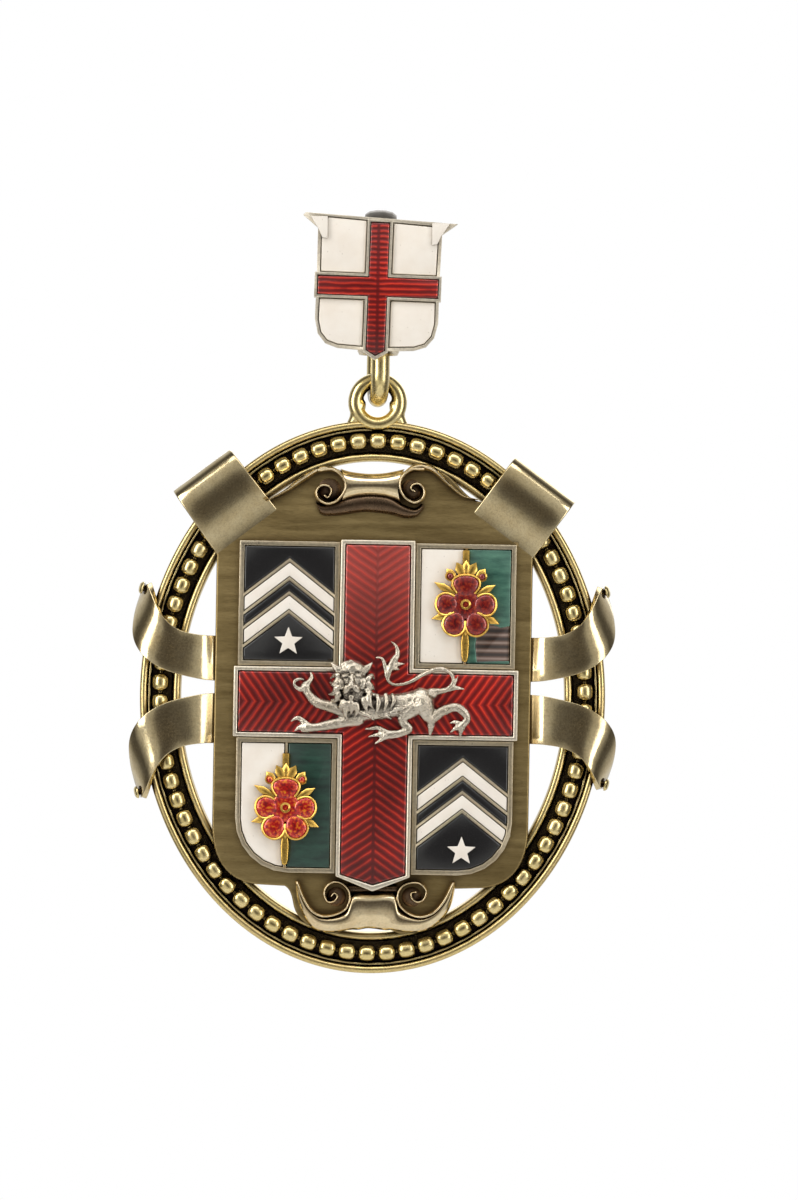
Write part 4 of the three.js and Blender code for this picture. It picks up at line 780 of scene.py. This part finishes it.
# Rolled mouldings. A row across a strip holds its inner edge, middle and outer edge, x and y in mm.
# Coils were read off two enlargements of the photo, in their pixels: "zoom" is the millimetres to a pixel,
# "corner" the place of their first pixel and "tilt" the rise a pixel to the right, as the photo isn't level
upperScroll = {
    "back": 3.75, "rise": 1.5, "lip": 1.35, "coil": 0.24, "power": 0.5, "crest": 0.5,
    "strips": [
        [((-13.12, 23.27), (-13.06, 23.23), (-12.99, 23.16)),
         ((-10.73, 24.86), (-10.54, 24.69), (-10.35, 24.5)),
         ((-8.82, 26.44), (-8.63, 26.1), (-8.43, 25.76)), ((-6.9, 27.51), (-6.71, 27.2), (-6.71, 26.8)),
         ((-5.56, 27.6), (-5.18, 27.2), (-5.18, 26.8)), ((-4.4, 27.1), (-4.1, 26.6), (-3.94, 26.2))],
        [((-4.3, 27.3), (-3.7, 25.3), (-4.2, 23.1)), ((-3.4, 27.02), (-3.1, 25.25), (-3.4, 23.5)),
         ((-2.3, 26.85), (-2.3, 25.3), (-2.3, 23.8)), ((-0.8, 26.75), (-0.8, 25.35), (-0.8, 23.95)),
         ((0.9, 26.85), (0.9, 25.35), (0.9, 23.85)), ((2.2, 27.1), (2.0, 25.35), (2.2, 23.55)),
         ((3.4, 27.4), (2.6, 25.35), (3.1, 23.1))],
        [((3.1, 27.0), (2.95, 26.5), (2.85, 26.1)), ((4.57, 28.0), (4.19, 27.5), (4.1, 27.1)),
         ((5.91, 28.08), (5.72, 27.7), (5.63, 27.2)), ((7.35, 27.43), (7.06, 27.14), (6.87, 26.85)),
         ((8.78, 25.93), (8.59, 25.73), (8.4, 25.54)), ((10.5, 24.43), (10.41, 24.29), (10.31, 24.14)),
         ((12.23, 23.9), (12.23, 23.85), (12.23, 23.79))],
    ],
    "under": [((-7.2, 23.3), (-7.15, 23.1), (-7.1, 22.9)), ((-6.2, 23.1), (-6.4, 22.4), (-6.45, 21.7)),
              ((-4.8, 23.6), (-4.7, 22.6), (-4.4, 21.65)), ((-3.3, 24.1), (-2.9, 23.0), (-2.6, 21.95)),
              ((-0.9, 24.5), (-0.9, 23.3), (-0.9, 22.1)), ((1.4, 24.3), (1.6, 23.1), (1.8, 21.85)),
              ((3.1, 23.3), (3.4, 22.4), (3.6, 21.45)), ((4.6, 22.8), (4.9, 22.2), (5.0, 21.75)),
              ((5.5, 23.3), (5.7, 23.0), (5.85, 22.8))],
    "zoom": 0.01913, "corner": (-15.13, 30.58), "tilt": 0.000334,
    "coils": [
        [(430, 192), (520, 188), (580, 235), (600, 300), (560, 372), (495, 402), (435, 375), (418, 325),
         (448, 288), (495, 292), (512, 325), (492, 362), (470, 350)],
        [(1085, 185), (1005, 188), (950, 240), (940, 300), (970, 360), (1030, 395), (1080, 370), (1092, 320),
         (1065, 280), (1025, 280), (1010, 308), (1035, 325)],
    ],
    "discs": [(-5.55, 24.75, 1.62), (4.25, 24.9, 1.5)],
}
lowerScroll = {
    "back": 3.75, "rise": 1.4, "lip": 1.35, "coil": 0.22, "power": 0.5, "crest": 0.28,
    "strips": [
        [((-8.62, -22.26), (-8.73, -22.47), (-8.83, -22.82)),
         ((-7.93, -23.97), (-8.24, -24.32), (-8.6, -24.4)),
         ((-6.97, -25.47), (-7.41, -25.89), (-7.91, -26.25)),
         ((-5.73, -26.21), (-6.01, -27.11), (-6.49, -27.94)),
         ((-4.22, -26.11), (-4.15, -27.35), (-4.42, -28.29)),
         ((-2.84, -25.4), (-2.42, -26.91), (-2.29, -27.94)),
         ((-2.26, -23.6), (-1.46, -25.51), (-1.18, -27.9)), ((0.19, -23.28), (0.06, -25.5), (0.06, -27.7)),
         ((3.29, -23.37), (2.4, -25.45), (1.98, -27.9)), ((3.8, -25.01), (3.36, -26.95), (2.95, -27.85)),
         ((5.15, -25.88), (4.95, -27.19), (4.88, -28.13)), ((6.39, -26.14), (6.67, -27.03), (6.87, -27.88)),
         ((7.91, -25.49), (8.32, -26.03), (8.73, -26.58)), ((9.15, -23.95), (9.49, -24.36), (9.81, -24.9)),
         ((10.04, -22.08), (10.19, -22.28), (10.35, -22.62))],
    ],
    "under": [((-2.6, -22.3), (-2.5, -23.0), (-2.4, -23.6)), ((0.2, -22.2), (0.2, -22.9), (0.2, -23.5)),
              ((3.3, -22.3), (3.3, -22.9), (3.3, -23.5))],
    "zoom": 0.013776, "corner": (-9.45, -19.73), "tilt": 0.00024,
    "coils": [
        [(60, 185), (110, 310), (180, 420), (270, 475), (380, 470), (480, 420), (520, 330), (500, 245),
         (440, 190), (370, 185), (312, 230), (298, 300), (330, 355), (385, 350), (412, 308), (385, 280),
         (360, 305)],
        [(1415, 195), (1350, 330), (1260, 440), (1150, 485), (1040, 460), (955, 385), (935, 300), (975, 220),
         (1050, 190), (1130, 200), (1180, 260), (1165, 330), (1110, 358), (1058, 325), (1055, 280),
         (1095, 270)],
    ],
    "discs": [(-3.9, -23.95, 1.35), (5.1, -23.85, 1.4)],
}
# Meshes of both: steps along and across the strips, the coils, and the deep brown strip and discs under the
# volutes, which are painted shade
scrollMesh = {"steps": 70, "across": 18, "coilSteps": 90, "coilSides": 16, "underSteps": 40,
              "underAcross": 10, "underRise": 0.6, "climb": 0.1, "thick": 1.15, "taper": 0.5, "discTop": 0.3,
              "discDeep": 0.5, "discLift": 0.15}


def coilPoint(s, x, y):  # to a hundredth of a millimetre
    left, top = s["corner"]
    return round(left + s["zoom"] * x, 2), round(top - s["zoom"] * y + s["tilt"] * x, 2)


def scroll(number, s):
    m = scrollMesh
    rolled, shade = bmesh.new(), bmesh.new()
    for rows in s["strips"]:
        loft(rolled, rows, m["steps"], m["across"], s["back"], s["rise"], s["power"], s["crest"])
    for coil in s["coils"]:
        line = [coilPoint(s, *point) for point in coil]
        rows = []
        for k, at in enumerate(smoothLine(line, m["coilSteps"])):
            share = k / m["coilSteps"]
            fore = plate["front"] + s["lip"] / 2 + m["climb"] * share
            rows.append((at.x, at.y, fore, s["coil"] * (m["thick"] - m["taper"] * share)))
        tube(rolled, rows, m["coilSides"], flat=(s["lip"] / 2 + m["climb"]) / s["coil"])
    # The strip under the bar and the discs under the volutes are painted shade, in a deep brown metal
    loft(shade, s["under"], m["underSteps"], m["underAcross"], s["back"], m["underRise"] * s["rise"], 0.5)
    for x, y, radius in s["discs"]:
        place = Matrix.Translation((x, y, plate["front"] + m["discLift"]))
        bmesh.ops.create_cone(shade, cap_ends=True, segments=40, radius1=radius,
                              radius2=m["discTop"] * radius, depth=m["discDeep"], matrix=place)
    node = ("cartouche",)
    addPiece(shade, f"scroll_painted_shade_{number}", "scrollShade", "badge", node, sharp=50)
    addPiece(rolled, f"scroll_{number}", "scrollGilt", "badge", node, sharp=70)


cartouchePlate()
ribbons()
scroll(1, upperScroll)
scroll(2, lowerScroll)
print("cartouche, ribbons and scrolls made")


# Rivets, link and hook

def rivetHeads():
    for number in range(1, 5):
        refined(f"ribbon_rivet_{number}", "gilt", "badge", 0.1, 2)


link = {"wire": 1.1, "hole": (3.4, 5.4), "turn": 6, "steps": 64, "sides": 24}


def linkRing():
    low, high = drawnBox("suspension_link")
    middle = (low + high) / 2
    wide, tall = link["hole"]
    bend = wide / 2 + link["wire"]
    straight = (tall - wide) / 2
    line = []
    for k in range(link["steps"]):
        a = 2 * math.pi * k / link["steps"]
        y = bend * math.sin(a) + (straight if math.sin(a) > 0 else -straight)
        line.append((bend * math.cos(a), y, 0, link["wire"]))
    bm = bmesh.new()
    tube(bm, line, link["sides"], closed=True)
    turn = Matrix.Rotation(math.radians(-90 + link["turn"]), 4, "Y")
    bmesh.ops.transform(bm, matrix=Matrix.Translation(middle) @ turn, verts=bm.verts)
    return addPiece(bm, "link_ring", "gilt", "link", ("suspension_link",), sharp=80)


def hookStrap():
    bm = bmesh.new()
    bm.from_mesh(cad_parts["back_hook"].data)
    bmesh.ops.remove_doubles(bm, verts=bm.verts, dist=2e-6)
    bmesh.ops.join_triangles(bm, faces=bm.faces, angle_face_threshold=math.radians(40),
                             angle_shape_threshold=math.radians(60), cmp_seam=False, cmp_sharp=False)
    bmesh.ops.transform(bm, matrix=toDrawn, verts=bm.verts)
    bmesh.ops.subdivide_edges(bm, edges=bm.edges, cuts=1, use_grid_fill=True, smooth=1.0)
    low, high = drawnBox("back_hook")
    for v in bm.verts:  # rounding stays inside the solid's own box
        v.co = [min(max(value, a), b) for value, a, b in zip(v.co, low, high)]
    return addPiece(bm, "hook_strap", "darkMetal", "upper_shield", ("back_hook",), sharp=60)


rivetHeads()
linkRing()
hookStrap()
print("rivets, link and hook made")


# Shields and enamels

# White enamel over the two ears of the small shield. Corners: 0 at the enamel's side or 1 at the ear's tip,
# then outwards and up from there
ear = {"lift": 0.05, "fore": 0.04, "edge": 0.06,
       "corners": [(0, -0.75, 0), (1, -0.9, 0), (0, 0.3, -1.6), (0, -0.1, -2.5), (0, -0.75, -2.6)]}


def shields():
    refined("upper_shield", "silver", "upper_shield", 0.1, 2)
    refined("upper_cross_enamel", "upperRed", "upper_shield", 0.16, 3)
    low, high = drawnBox("upper_shield")
    for side, number in ((-1, 1), (1, 2)):
        enamelLow, enamelHigh = drawnBox(f"upper_white_enamel_{number}")
        outer, tip = (enamelLow.x, low.x) if side < 0 else (enamelHigh.x, high.x)
        top = enamelHigh.y + ear["lift"]
        outline = [((tip if atTip else outer) + side * out, top + up) for atTip, out, up in ear["corners"]]
        bm = bmesh.new()
        flatSlab(bm, outline[::side], enamelLow.z, high.z + ear["fore"], ear["edge"], 2)
        addPiece(bm, f"ear_enamel_{number}", "white", "upper_shield", (), sharp=50)
    for number in range(1, 5):
        refined(f"upper_white_enamel_{number}", "white", "upper_shield", 0.16, 3)
    refined("main_shield", "traySilver", "badge", 0.08, 2)
    refined("main_cross", "silver", "badge", 0.12, 2)
    refined("main_cross_enamel", "crossRed", "badge", 0.22, 4)
    for quarter in (1, 4):
        for field in ("top", "middle", "low"):
            refined(f"black_field_{field}_{quarter}", "black", "badge", 0.14, 3)
        for band in ("upper", "lower"):
            refined(f"chevronel_{band}_{quarter}", "white", "badge", 0.14, 3)
        refined(f"star_{quarter}", "white", "badge", 0.08, 2)
    for quarter in (2, 3):
        green = "greenUpper" if quarter == 2 else "greenLower"
        refined(f"white_field_{quarter}", "white", "badge", 0.16, 3)
        refined(f"green_field_{quarter}", green, "badge", 0.12, 2)


shields()
print("shields and enamels made")


# Roses

rose = {
    "lift": 0.75, "rim": 0.14, "rimReach": 11, "skirt": 1.08, "skirtDrop": 0.25, "skirtEdge": 0.06,
    "glass": 0.93, "glassDrop": 0.05, "glassRise": 0.32, "heart": 1.75, "heartDrop": 0.08, "heartRise": 0.26,
    "boss": 0.5, "bossLift": 0.2, "bossWire": 0.16, "leafTop": 0.55, "leafRidge": 0.3,
    "stemTop": 0.62, "stemEdge": 0.16, "pinTop": 0.5, "pinEdge": 0.1,
    "budAt": (1.9, 3.35), "bud": 0.42, "budLift": 0.62, "budRise": 0.3, "budRing": 0.5, "budWire": 0.12,
}
# Petals: direction, reach, half width, half length, and how much wider the outer end is
petals = [(90, 2.15, 1.6, 1.4, 0.3), (180, 2.2, 1.3, 1.4, 0.15), (0, 2.25, 1.3, 1.4, 0.15),
          (241, 2.6, 1.35, 1.5, 0.15), (299, 2.6, 1.35, 1.5, 0.15)]
# Leaves: root x, y, direction, length and width
leaves = [(-1.0, 1.1, 152, 3.2, 0.85), (1.15, 1.1, 28, 2.7, 0.8), (-1.3, -1.1, 194, 2.9, 0.8),
          (1.7, -1.2, 335, 2.6, 0.8), (0.05, -1.9, 270, 2.1, 0.9), (-0.15, 3.1, 118, 2.2, 1.1),
          (0.15, 3.1, 62, 2.2, 1.1), (0, 3.6, 90, 1.7, 0.8), (-1.3, 2.9, 128, 1.7, 1.0),
          (1.3, 2.9, 55, 1.7, 1.0)]
leafShape = [(0.0, 0.35), (0.3, 0.9), (0.65, 1.0), (1.0, 0.0), (0.65, -1.0), (0.3, -0.9), (0.0, -0.35)]
roseStem = [(-0.42, -6.2), (-0.3, -6.75), (0, -6.9), (0.3, -6.75), (0.42, -6.2), (0.5, -4.6), (0.36, -3.2),
            (0.12, -2.2), (-0.12, -2.2), (-0.36, -3.2), (-0.5, -4.6)]
rosePin = [(-0.44, 4.4), (0.36, 4.4), (0.36, 6.45), (-0.44, 6.45)]


def turned(angle, along, across):
    cosine, sine = math.cos(angle), math.sin(angle)
    return cosine * along - sine * across, sine * along + cosine * across


def petalLine(petal, scale, count=32):  # outline of a petal about the rose's middle
    direction, reach, wide, length, flare = petal
    points = []
    for k in range(count):
        a = 2 * math.pi * k / count
        u, v = math.cos(a) * length * scale, math.sin(a) * wide * scale
        v *= 1 + flare * math.cos(a)
        points.append(turned(math.radians(direction), reach + u, v))
    return points


def leafBlade(bm, root, angle, length, width, back, front):  # a blade with a ridge down its middle
    along = Vector((math.cos(angle), math.sin(angle)))
    across = Vector((-along.y, along.x))
    points = [Vector(root) + across * c * width / 2 + along * a * length for a, c in leafShape]
    corners = [bm.verts.new((p.x, p.y, back)) for p in points]
    made = bmesh.ops.extrude_face_region(bm, geom=[bm.faces.new(corners)])
    top = [v for v in made["geom"] if isinstance(v, bmesh.types.BMVert)]
    bmesh.ops.translate(bm, vec=(0, 0, front - back), verts=top)
    ridge = bmesh.ops.poke(bm, faces=[f for f in made["geom"] if isinstance(f, bmesh.types.BMFace)])
    bmesh.ops.translate(bm, vec=(0, 0, rose["leafRidge"]), verts=ridge["verts"])


def ball(bm, sides, rings):  # vertices of a sphere of radius 1, to be placed one by one
    return bmesh.ops.create_uvsphere(bm, u_segments=sides, v_segments=rings, radius=1)["verts"]


def roseOn(quarter):
    r = rose
    low, high = drawnBox(f"rose_setting_{quarter}")
    cx, cy, back = (low.x + high.x) / 2, (low.y + high.y) / 2, low.z
    top = back + r["lift"]
    metal, enamel = bmesh.new(), bmesh.new()
    for petal in petals:
        direction, reach, wide, length, flare = petal
        skirt = [(cx + x, cy + y) for x, y in petalLine(petal, r["skirt"])]
        flatSlab(metal, skirt, back, top - r["skirtDrop"], r["skirtEdge"], 1)
        line = petalLine(petal, 1.0)
        outer = line[-r["rimReach"]:] + line[:r["rimReach"] + 1]
        tube(metal, [(cx + x, cy + y, top, r["rim"]) for x, y in outer], 8)
        for v in ball(enamel, 32, 12):
            u, w = v.co.x * length * r["glass"], v.co.y * wide * r["glass"] * (1 + flare * v.co.x)
            x, y = turned(math.radians(direction), reach + u, w)
            v.co = (cx + x, cy + y, top - r["glassDrop"] + v.co.z * r["glassRise"])
    for x, y, direction, length, width in leaves:
        leafBlade(metal, (cx + x, cy + y), math.radians(direction), length, width, back, back + r["leafTop"])
    for v in ball(enamel, 32, 12):
        rise = v.co.z * r["heartRise"]
        v.co = (cx + v.co.x * r["heart"], cy + v.co.y * r["heart"], top - r["heartDrop"] + rise)
    ring = [(math.cos(2 * math.pi * j / 24), math.sin(2 * math.pi * j / 24)) for j in range(24)]
    boss = [(cx + r["boss"] * x, cy + r["boss"] * y, top + r["bossLift"], r["bossWire"]) for x, y in ring]
    tube(metal, boss, 8, closed=True)
    flatSlab(metal, [(cx + x, cy + y) for x, y in roseStem], back, back + r["stemTop"], r["stemEdge"], 3)
    flatSlab(metal, [(cx + x, cy + y) for x, y in rosePin], back, back + r["pinTop"], r["pinEdge"], 2)
    for side in (-1, 1):
        bx, by, fore = cx + side * r["budAt"][0], cy + r["budAt"][1], back + r["budLift"]
        for v in ball(enamel, 16, 8):
            v.co = (bx + v.co.x * r["bud"], by + v.co.y * r["bud"], fore + v.co.z * r["budRise"])
        rim = [(bx + r["budRing"] * x, by + r["budRing"] * y, fore, r["budWire"]) for x, y in ring]
        tube(metal, rim, 8, closed=True)
    petalLook = "petal" if quarter == 2 else "petalBright"
    setting, glass = (f"rose_setting_{quarter}",), (f"rose_enamel_{quarter}",)
    addPiece(metal, f"rose_gold_{quarter}", "gold", "badge", setting, sharp=40)
    addPiece(enamel, f"rose_petals_{quarter}", petalLook, "badge", glass, sharp=70)


for quarter in (2, 3):
    roseOn(quarter)
print("roses made")


# Lion

# The figure's points were read off an enlargement of the photo, in its pixels. "zoom" of them make one of
# the photo's, which is "pixel" mm. "corner" is where the enlargement begins, from the middle of the oval,
# "level" is the photo's turn in radians, and "thick" is one of its pixels as a share of the lion's length
lion = {"length": 21.4, "x": 0.95, "y": 0.7, "back": 6.25, "lift": 0.62, "voxel": 0.1, "smooth": 2,
        "stout": 1.12, "flat": 0.75, "sides": 14, "steps": 6, "zoom": 7.84, "corner": (-92.5, -67),
        "pixel": 0.12, "level": 0.01745, "thick": 0.000715}
# Columns: x and y in its pixels, height as a share of the lion's length, and radius in its pixels
bodyTubes = [
    [(560, 640, .03, 60), (660, 610, .035, 88), (800, 600, .035, 90), (920, 580, .035, 82),
     (1040, 550, .03, 72), (1120, 530, .045, 82), (1190, 500, .04, 40)],
    [(600, 630, .02, 80), (585, 540, .02, 115), (578, 430, .015, 135), (578, 350, .02, 105)],
    [(575, 310, .07, 50), (575, 370, .07, 100), (568, 450, .085, 76), (562, 520, .085, 40)],
]
forelegs = [
    [(520, 620, .05, 60), (390, 592, .06, 40), (290, 560, .06, 36), (225, 490, .055, 30),
     (205, 440, .05, 36)],
    [(210, 430, .05, 26), (235, 400, .05, 20), (255, 365, .045, 16), (243, 325, .045, 6)],
    [(200, 450, .05, 26), (160, 460, .045, 18), (120, 430, .045, 13), (122, 395, .045, 12),
     (160, 380, .045, 11), (195, 388, .045, 6)],
    [(610, 690, .05, 55), (500, 712, .045, 42), (390, 735, .045, 36), (290, 755, .045, 30),
     (215, 755, .04, 36)],
    [(210, 735, .04, 28), (165, 690, .035, 20), (130, 685, .035, 16), (92, 712, .03, 6)],
    [(200, 760, .04, 26), (160, 755, .035, 18), (120, 783, .03, 6)],
    [(215, 770, .04, 26), (180, 785, .035, 10)],
]
hindLegs = [
    [(1040, 600, .05, 70), (965, 680, .05, 42), (975, 730, .045, 32), (1015, 770, .045, 26),
     (930, 805, .04, 30), (840, 815, .04, 34)],
    [(830, 800, .04, 28), (770, 760, .035, 18), (720, 765, .035, 14), (668, 770, .03, 5)],
    [(820, 815, .04, 26), (760, 815, .035, 16), (695, 832, .03, 5)],
    [(820, 830, .04, 26), (790, 855, .035, 16), (745, 885, .03, 5)],
    [(1120, 570, .065, 84), (1180, 680, .055, 44), (1270, 630, .05, 36), (1370, 600, .045, 34),
     (1435, 635, .045, 32), (1465, 690, .04, 26), (1425, 745, .04, 26)],
    [(1185, 690, .05, 34), (1180, 760, .04, 24), (1175, 822, .03, 7)],
    [(1420, 740, .04, 26), (1370, 715, .035, 16), (1330, 725, .03, 5)],
    [(1415, 750, .04, 26), (1370, 765, .035, 17), (1335, 795, .03, 5)],
    [(1425, 750, .04, 26), (1415, 790, .035, 17), (1410, 832, .03, 5)],
]
tail = [
    [(1180, 480, .05, 30), (1260, 475, .045, 22), (1320, 455, .045, 18), (1355, 400, .045, 14),
     (1335, 335, .055, 15), (1270, 303, .07, 17), (1200, 310, .07, 17), (1110, 350, .05, 15),
     (1030, 398, .04, 14), (940, 425, .045, 12), (870, 415, .045, 13), (840, 370, .045, 14),
     (828, 300, .04, 15), (805, 225, .04, 13), (755, 212, .035, 7)],
    [(850, 370, .045, 12), (862, 300, .045, 22), (890, 240, .045, 26), (922, 185, .04, 20),
     (912, 125, .04, 13), (870, 88, .035, 5)],
    [(885, 270, .045, 24), (925, 265, .04, 17), (972, 262, .035, 5)],
    [(880, 290, .045, 22), (915, 300, .04, 14), (940, 310, .035, 4)],
    [(1340, 440, .045, 16), (1370, 410, .04, 12), (1392, 360, .035, 4)],
    [(1300, 465, .045, 20), (1380, 450, .04, 17), (1445, 460, .035, 4)],
]
face = [
    [(500, 340, .08, 34), (450, 300, .09, 26), (412, 258, .09, 10)],
    [(650, 340, .08, 34), (690, 290, .09, 24), (720, 258, .09, 10)],
    [(528, 303, .095, 48), (575, 295, .11, 50), (622, 305, .095, 48)],
    [(570, 351, .155, 17), (566, 388, .175, 21), (562, 425, .195, 25)],
    [(530, 450, .18, 27), (520, 470, .17, 22)],
    [(600, 450, .18, 27), (612, 468, .17, 22)],
    [(562, 520, .165, 22), (562, 535, .15, 20)],
    [(500, 355, .165, 13), (530, 352, .175, 11)],
    [(605, 350, .175, 11), (635, 352, .165, 13)],
    [(480, 400, .14, 26), (490, 440, .14, 22)],
    [(655, 395, .14, 26), (645, 440, .14, 22)],
]
maneLocks = [
    [(455, 400, .125, 26), (420, 420, .105, 18), (395, 405, .085, 6)],
    [(450, 450, .125, 26), (425, 490, .105, 18), (385, 500, .085, 6)],
    [(465, 500, .125, 26), (440, 545, .105, 18), (400, 540, .085, 6)],
    [(455, 350, .125, 24), (430, 355, .105, 16), (400, 375, .085, 6)],
    [(700, 370, .125, 22), (725, 350, .105, 14), (740, 385, .085, 5)],
    [(700, 420, .125, 24), (722, 440, .115, 18), (745, 470, .095, 6)],
    [(690, 470, .125, 26), (715, 500, .125, 22), (770, 500, .105, 8)],
    [(500, 560, .135, 26), (480, 600, .125, 20), (455, 590, .105, 6)],
    [(520, 570, .145, 26), (515, 640, .135, 20), (530, 690, .115, 7)],
    [(600, 580, .145, 26), (610, 620, .145, 20), (595, 665, .125, 7)],
    [(660, 540, .145, 26), (670, 590, .145, 20), (690, 630, .135, 7)],
    [(700, 510, .145, 24), (705, 560, .155, 20), (735, 610, .135, 7)],
    [(765, 505, .135, 16), (775, 570, .16, 18), (755, 650, .145, 8)],
    [(830, 500, .135, 16), (838, 560, .155, 17), (815, 630, .145, 7)],
    [(880, 500, .125, 14), (895, 545, .15, 15), (870, 600, .145, 7)],
    [(560, 565, .155, 22), (565, 610, .145, 18), (560, 650, .125, 7)],
    [(790, 660, .105, 15), (830, 665, .105, 14), (875, 690, .085, 4)],
    [(870, 640, .115, 15), (910, 640, .115, 14), (950, 660, .085, 4)],
    [(900, 610, .125, 14), (950, 610, .125, 13), (1010, 590, .105, 4)],
    [(640, 640, .125, 20), (690, 660, .115, 16), (740, 700, .085, 5)],
    [(560, 250, .105, 22), (600, 260, .105, 20), (640, 280, .105, 12)],
    [(500, 270, .105, 22), (540, 255, .105, 18), (575, 262, .105, 10)],
]


def lionPoint(across, down, height, radius):  # places and radii to a thousandth of the lion's length
    s = lion["length"]
    right, under = across / lion["zoom"] + lion["corner"][0], down / lion["zoom"] + lion["corner"][1]
    x = round(((right + lion["level"] * under) * lion["pixel"] - lion["x"]) / s, 3)
    y = round((-(under - lion["level"] * right) * lion["pixel"] - lion["y"]) / s, 3)
    thick = round(radius * lion["thick"], 3)
    fore = lion["back"] + height * s * lion["lift"]
    return (lion["x"] + x * s, lion["y"] + y * s, fore, thick * s * lion["stout"])


def lionFigure():
    bm = bmesh.new()
    for rows in bodyTubes + forelegs + hindLegs + tail + face + maneLocks:
        line = [lionPoint(*r) for r in rows]
        if len(line) > 2:
            line = smoothLine(line, lion["steps"] * (len(line) - 1))
        tube(bm, line, lion["sides"], flat=lion["flat"])
    skin = fused(bm, lion["voxel"], lion["smooth"])
    for v in skin.verts:
        v.co.z = max(v.co.z, lion["back"])
    return addPiece(skin, "lion_cast", "castSilver", "badge", ("lion",), sharp=80)


lionFigure()
print("lion made")


# Studio, light and camera

studio = {"floor": -0.165, "radius": 0.14, "floorColour": (0.9, 0.9, 0.89, 1), "floorRough": 0.8, "room": 0.9,
          "middle": (0, 0, -0.05)}
# The room that the metal mirrors, from the front (0) to the back (1)
roomTones = [(0.0, (0.10, 0.09, 0.08)), (0.012, (0.16, 0.15, 0.14)), (0.03, (0.50, 0.49, 0.46)),
             (0.12, (0.78, 0.77, 0.74)), (0.26, (0.50, 0.49, 0.47)), (0.42, (0.10, 0.095, 0.09)),
             (0.6, (0.14, 0.135, 0.13)), (0.85, (0.8, 0.8, 0.8))]
# Lamps: name, place, size, power and colour
warm, plain = (1, 0.98, 0.95), (1, 1, 1)
lamps = [
    ("softboxLeft", (-0.42, -0.34, 0.10), (0.22, 0.5), 1.5, warm),
    ("softboxRight", (0.40, -0.36, 0.02), (0.16, 0.5), 0.8, warm),
    ("softboxTop", (0.02, -0.30, 0.42), (0.6, 0.2), 1.1, plain),
    ("softboxLow", (0.0, -0.34, -0.42), (0.5, 0.1), 0.15, plain),
    ("softboxBack", (0.1, 0.5, 0.2), (0.5, 0.4), 0.8, plain),
]


def lamp(name, place, size, power, colour):
    data = bpy.data.lights.new(name, "AREA")
    data.shape = "RECTANGLE"
    data.size, data.size_y = size
    data.energy = power
    data.color = colour
    light = bpy.data.objects.new(name, data)
    light.location = place
    way = Vector(studio["middle"]) - Vector(place)
    light.rotation_euler = way.to_track_quat("-Z", "Y").to_euler()
    bpy.context.scene.collection.objects.link(light)


def makeFloor():
    bm = bmesh.new()
    bmesh.ops.create_circle(bm, cap_ends=True, radius=studio["radius"], segments=96,
                            matrix=Matrix.Translation((0, 0, studio["floor"])))
    mesh = bpy.data.meshes.new("floor")
    bm.to_mesh(mesh)
    bm.free()
    material, _, _, shader = newMaterial("paleFloor")
    shader.inputs["Base Color"].default_value = studio["floorColour"]
    shader.inputs["Roughness"].default_value = studio["floorRough"]
    mesh.materials.append(material)
    floor = bpy.data.objects.new("floor", mesh)
    bpy.context.scene.collection.objects.link(floor)


def makeRoom():  # white to the camera, and shaded for everything that mirrors it
    world = bpy.data.worlds.new("studio")
    world.use_nodes = True
    bpy.context.scene.world = world
    nodes, links = world.node_tree.nodes, world.node_tree.links
    nodes.clear()
    out = nodes.new("ShaderNodeOutputWorld")
    white, room = nodes.new("ShaderNodeBackground"), nodes.new("ShaderNodeBackground")
    white.inputs["Color"].default_value = (1, 1, 1, 1)
    white.inputs["Strength"].default_value = 1.0
    where = nodes.new("ShaderNodeTexCoord")
    parts = nodes.new("ShaderNodeSeparateXYZ")
    links.new(where.outputs["Generated"], parts.inputs[0])
    depth = mathOf(nodes, links, "MULTIPLY_ADD", parts.outputs["Y"], 0.5, 0.5)
    tone = rampOf(nodes, links, depth, roomTones)
    links.new(tone, room.inputs["Color"])
    room.inputs["Strength"].default_value = studio["room"]
    rays, mix = nodes.new("ShaderNodeLightPath"), nodes.new("ShaderNodeMixShader")
    links.new(rays.outputs["Is Camera Ray"], mix.inputs[0])
    links.new(room.outputs[0], mix.inputs[1])
    links.new(white.outputs[0], mix.inputs[2])
    links.new(mix.outputs[0], out.inputs[0])
    bpy.context.scene.view_settings.view_transform = "Standard"


# Aim in mm across and up, distance in m, lens and sensor in mm, and the camera's own upright
camera = {"aim": (2.98, -45.19), "distance": 0.6, "lens": 150, "sensor": 36, "roll": (-0.01745, 0, 0.99985),
          "clip": (0.01, 20)}


def makeCamera():
    data = bpy.data.cameras.new("camera")
    data.lens = camera["lens"]
    data.sensor_width = camera["sensor"]
    data.clip_start, data.clip_end = camera["clip"]
    view = bpy.data.objects.new("camera", data)
    forward, up = Vector((0, 1, 0)), Vector(camera["roll"])
    right = forward.cross(up).normalized()
    turn = Matrix((right, up.normalized(), -forward)).transposed()
    aimX, aimZ = camera["aim"]
    place = Matrix.Translation((aimX * mm, -camera["distance"], aimZ * mm))
    view.matrix_world = place @ turn.to_4x4()
    bpy.context.scene.collection.objects.link(view)
    bpy.context.scene.camera = view


makeFloor()
makeRoom()
for row in lamps:
    lamp(*row)
makeCamera()
print("studio and camera made")
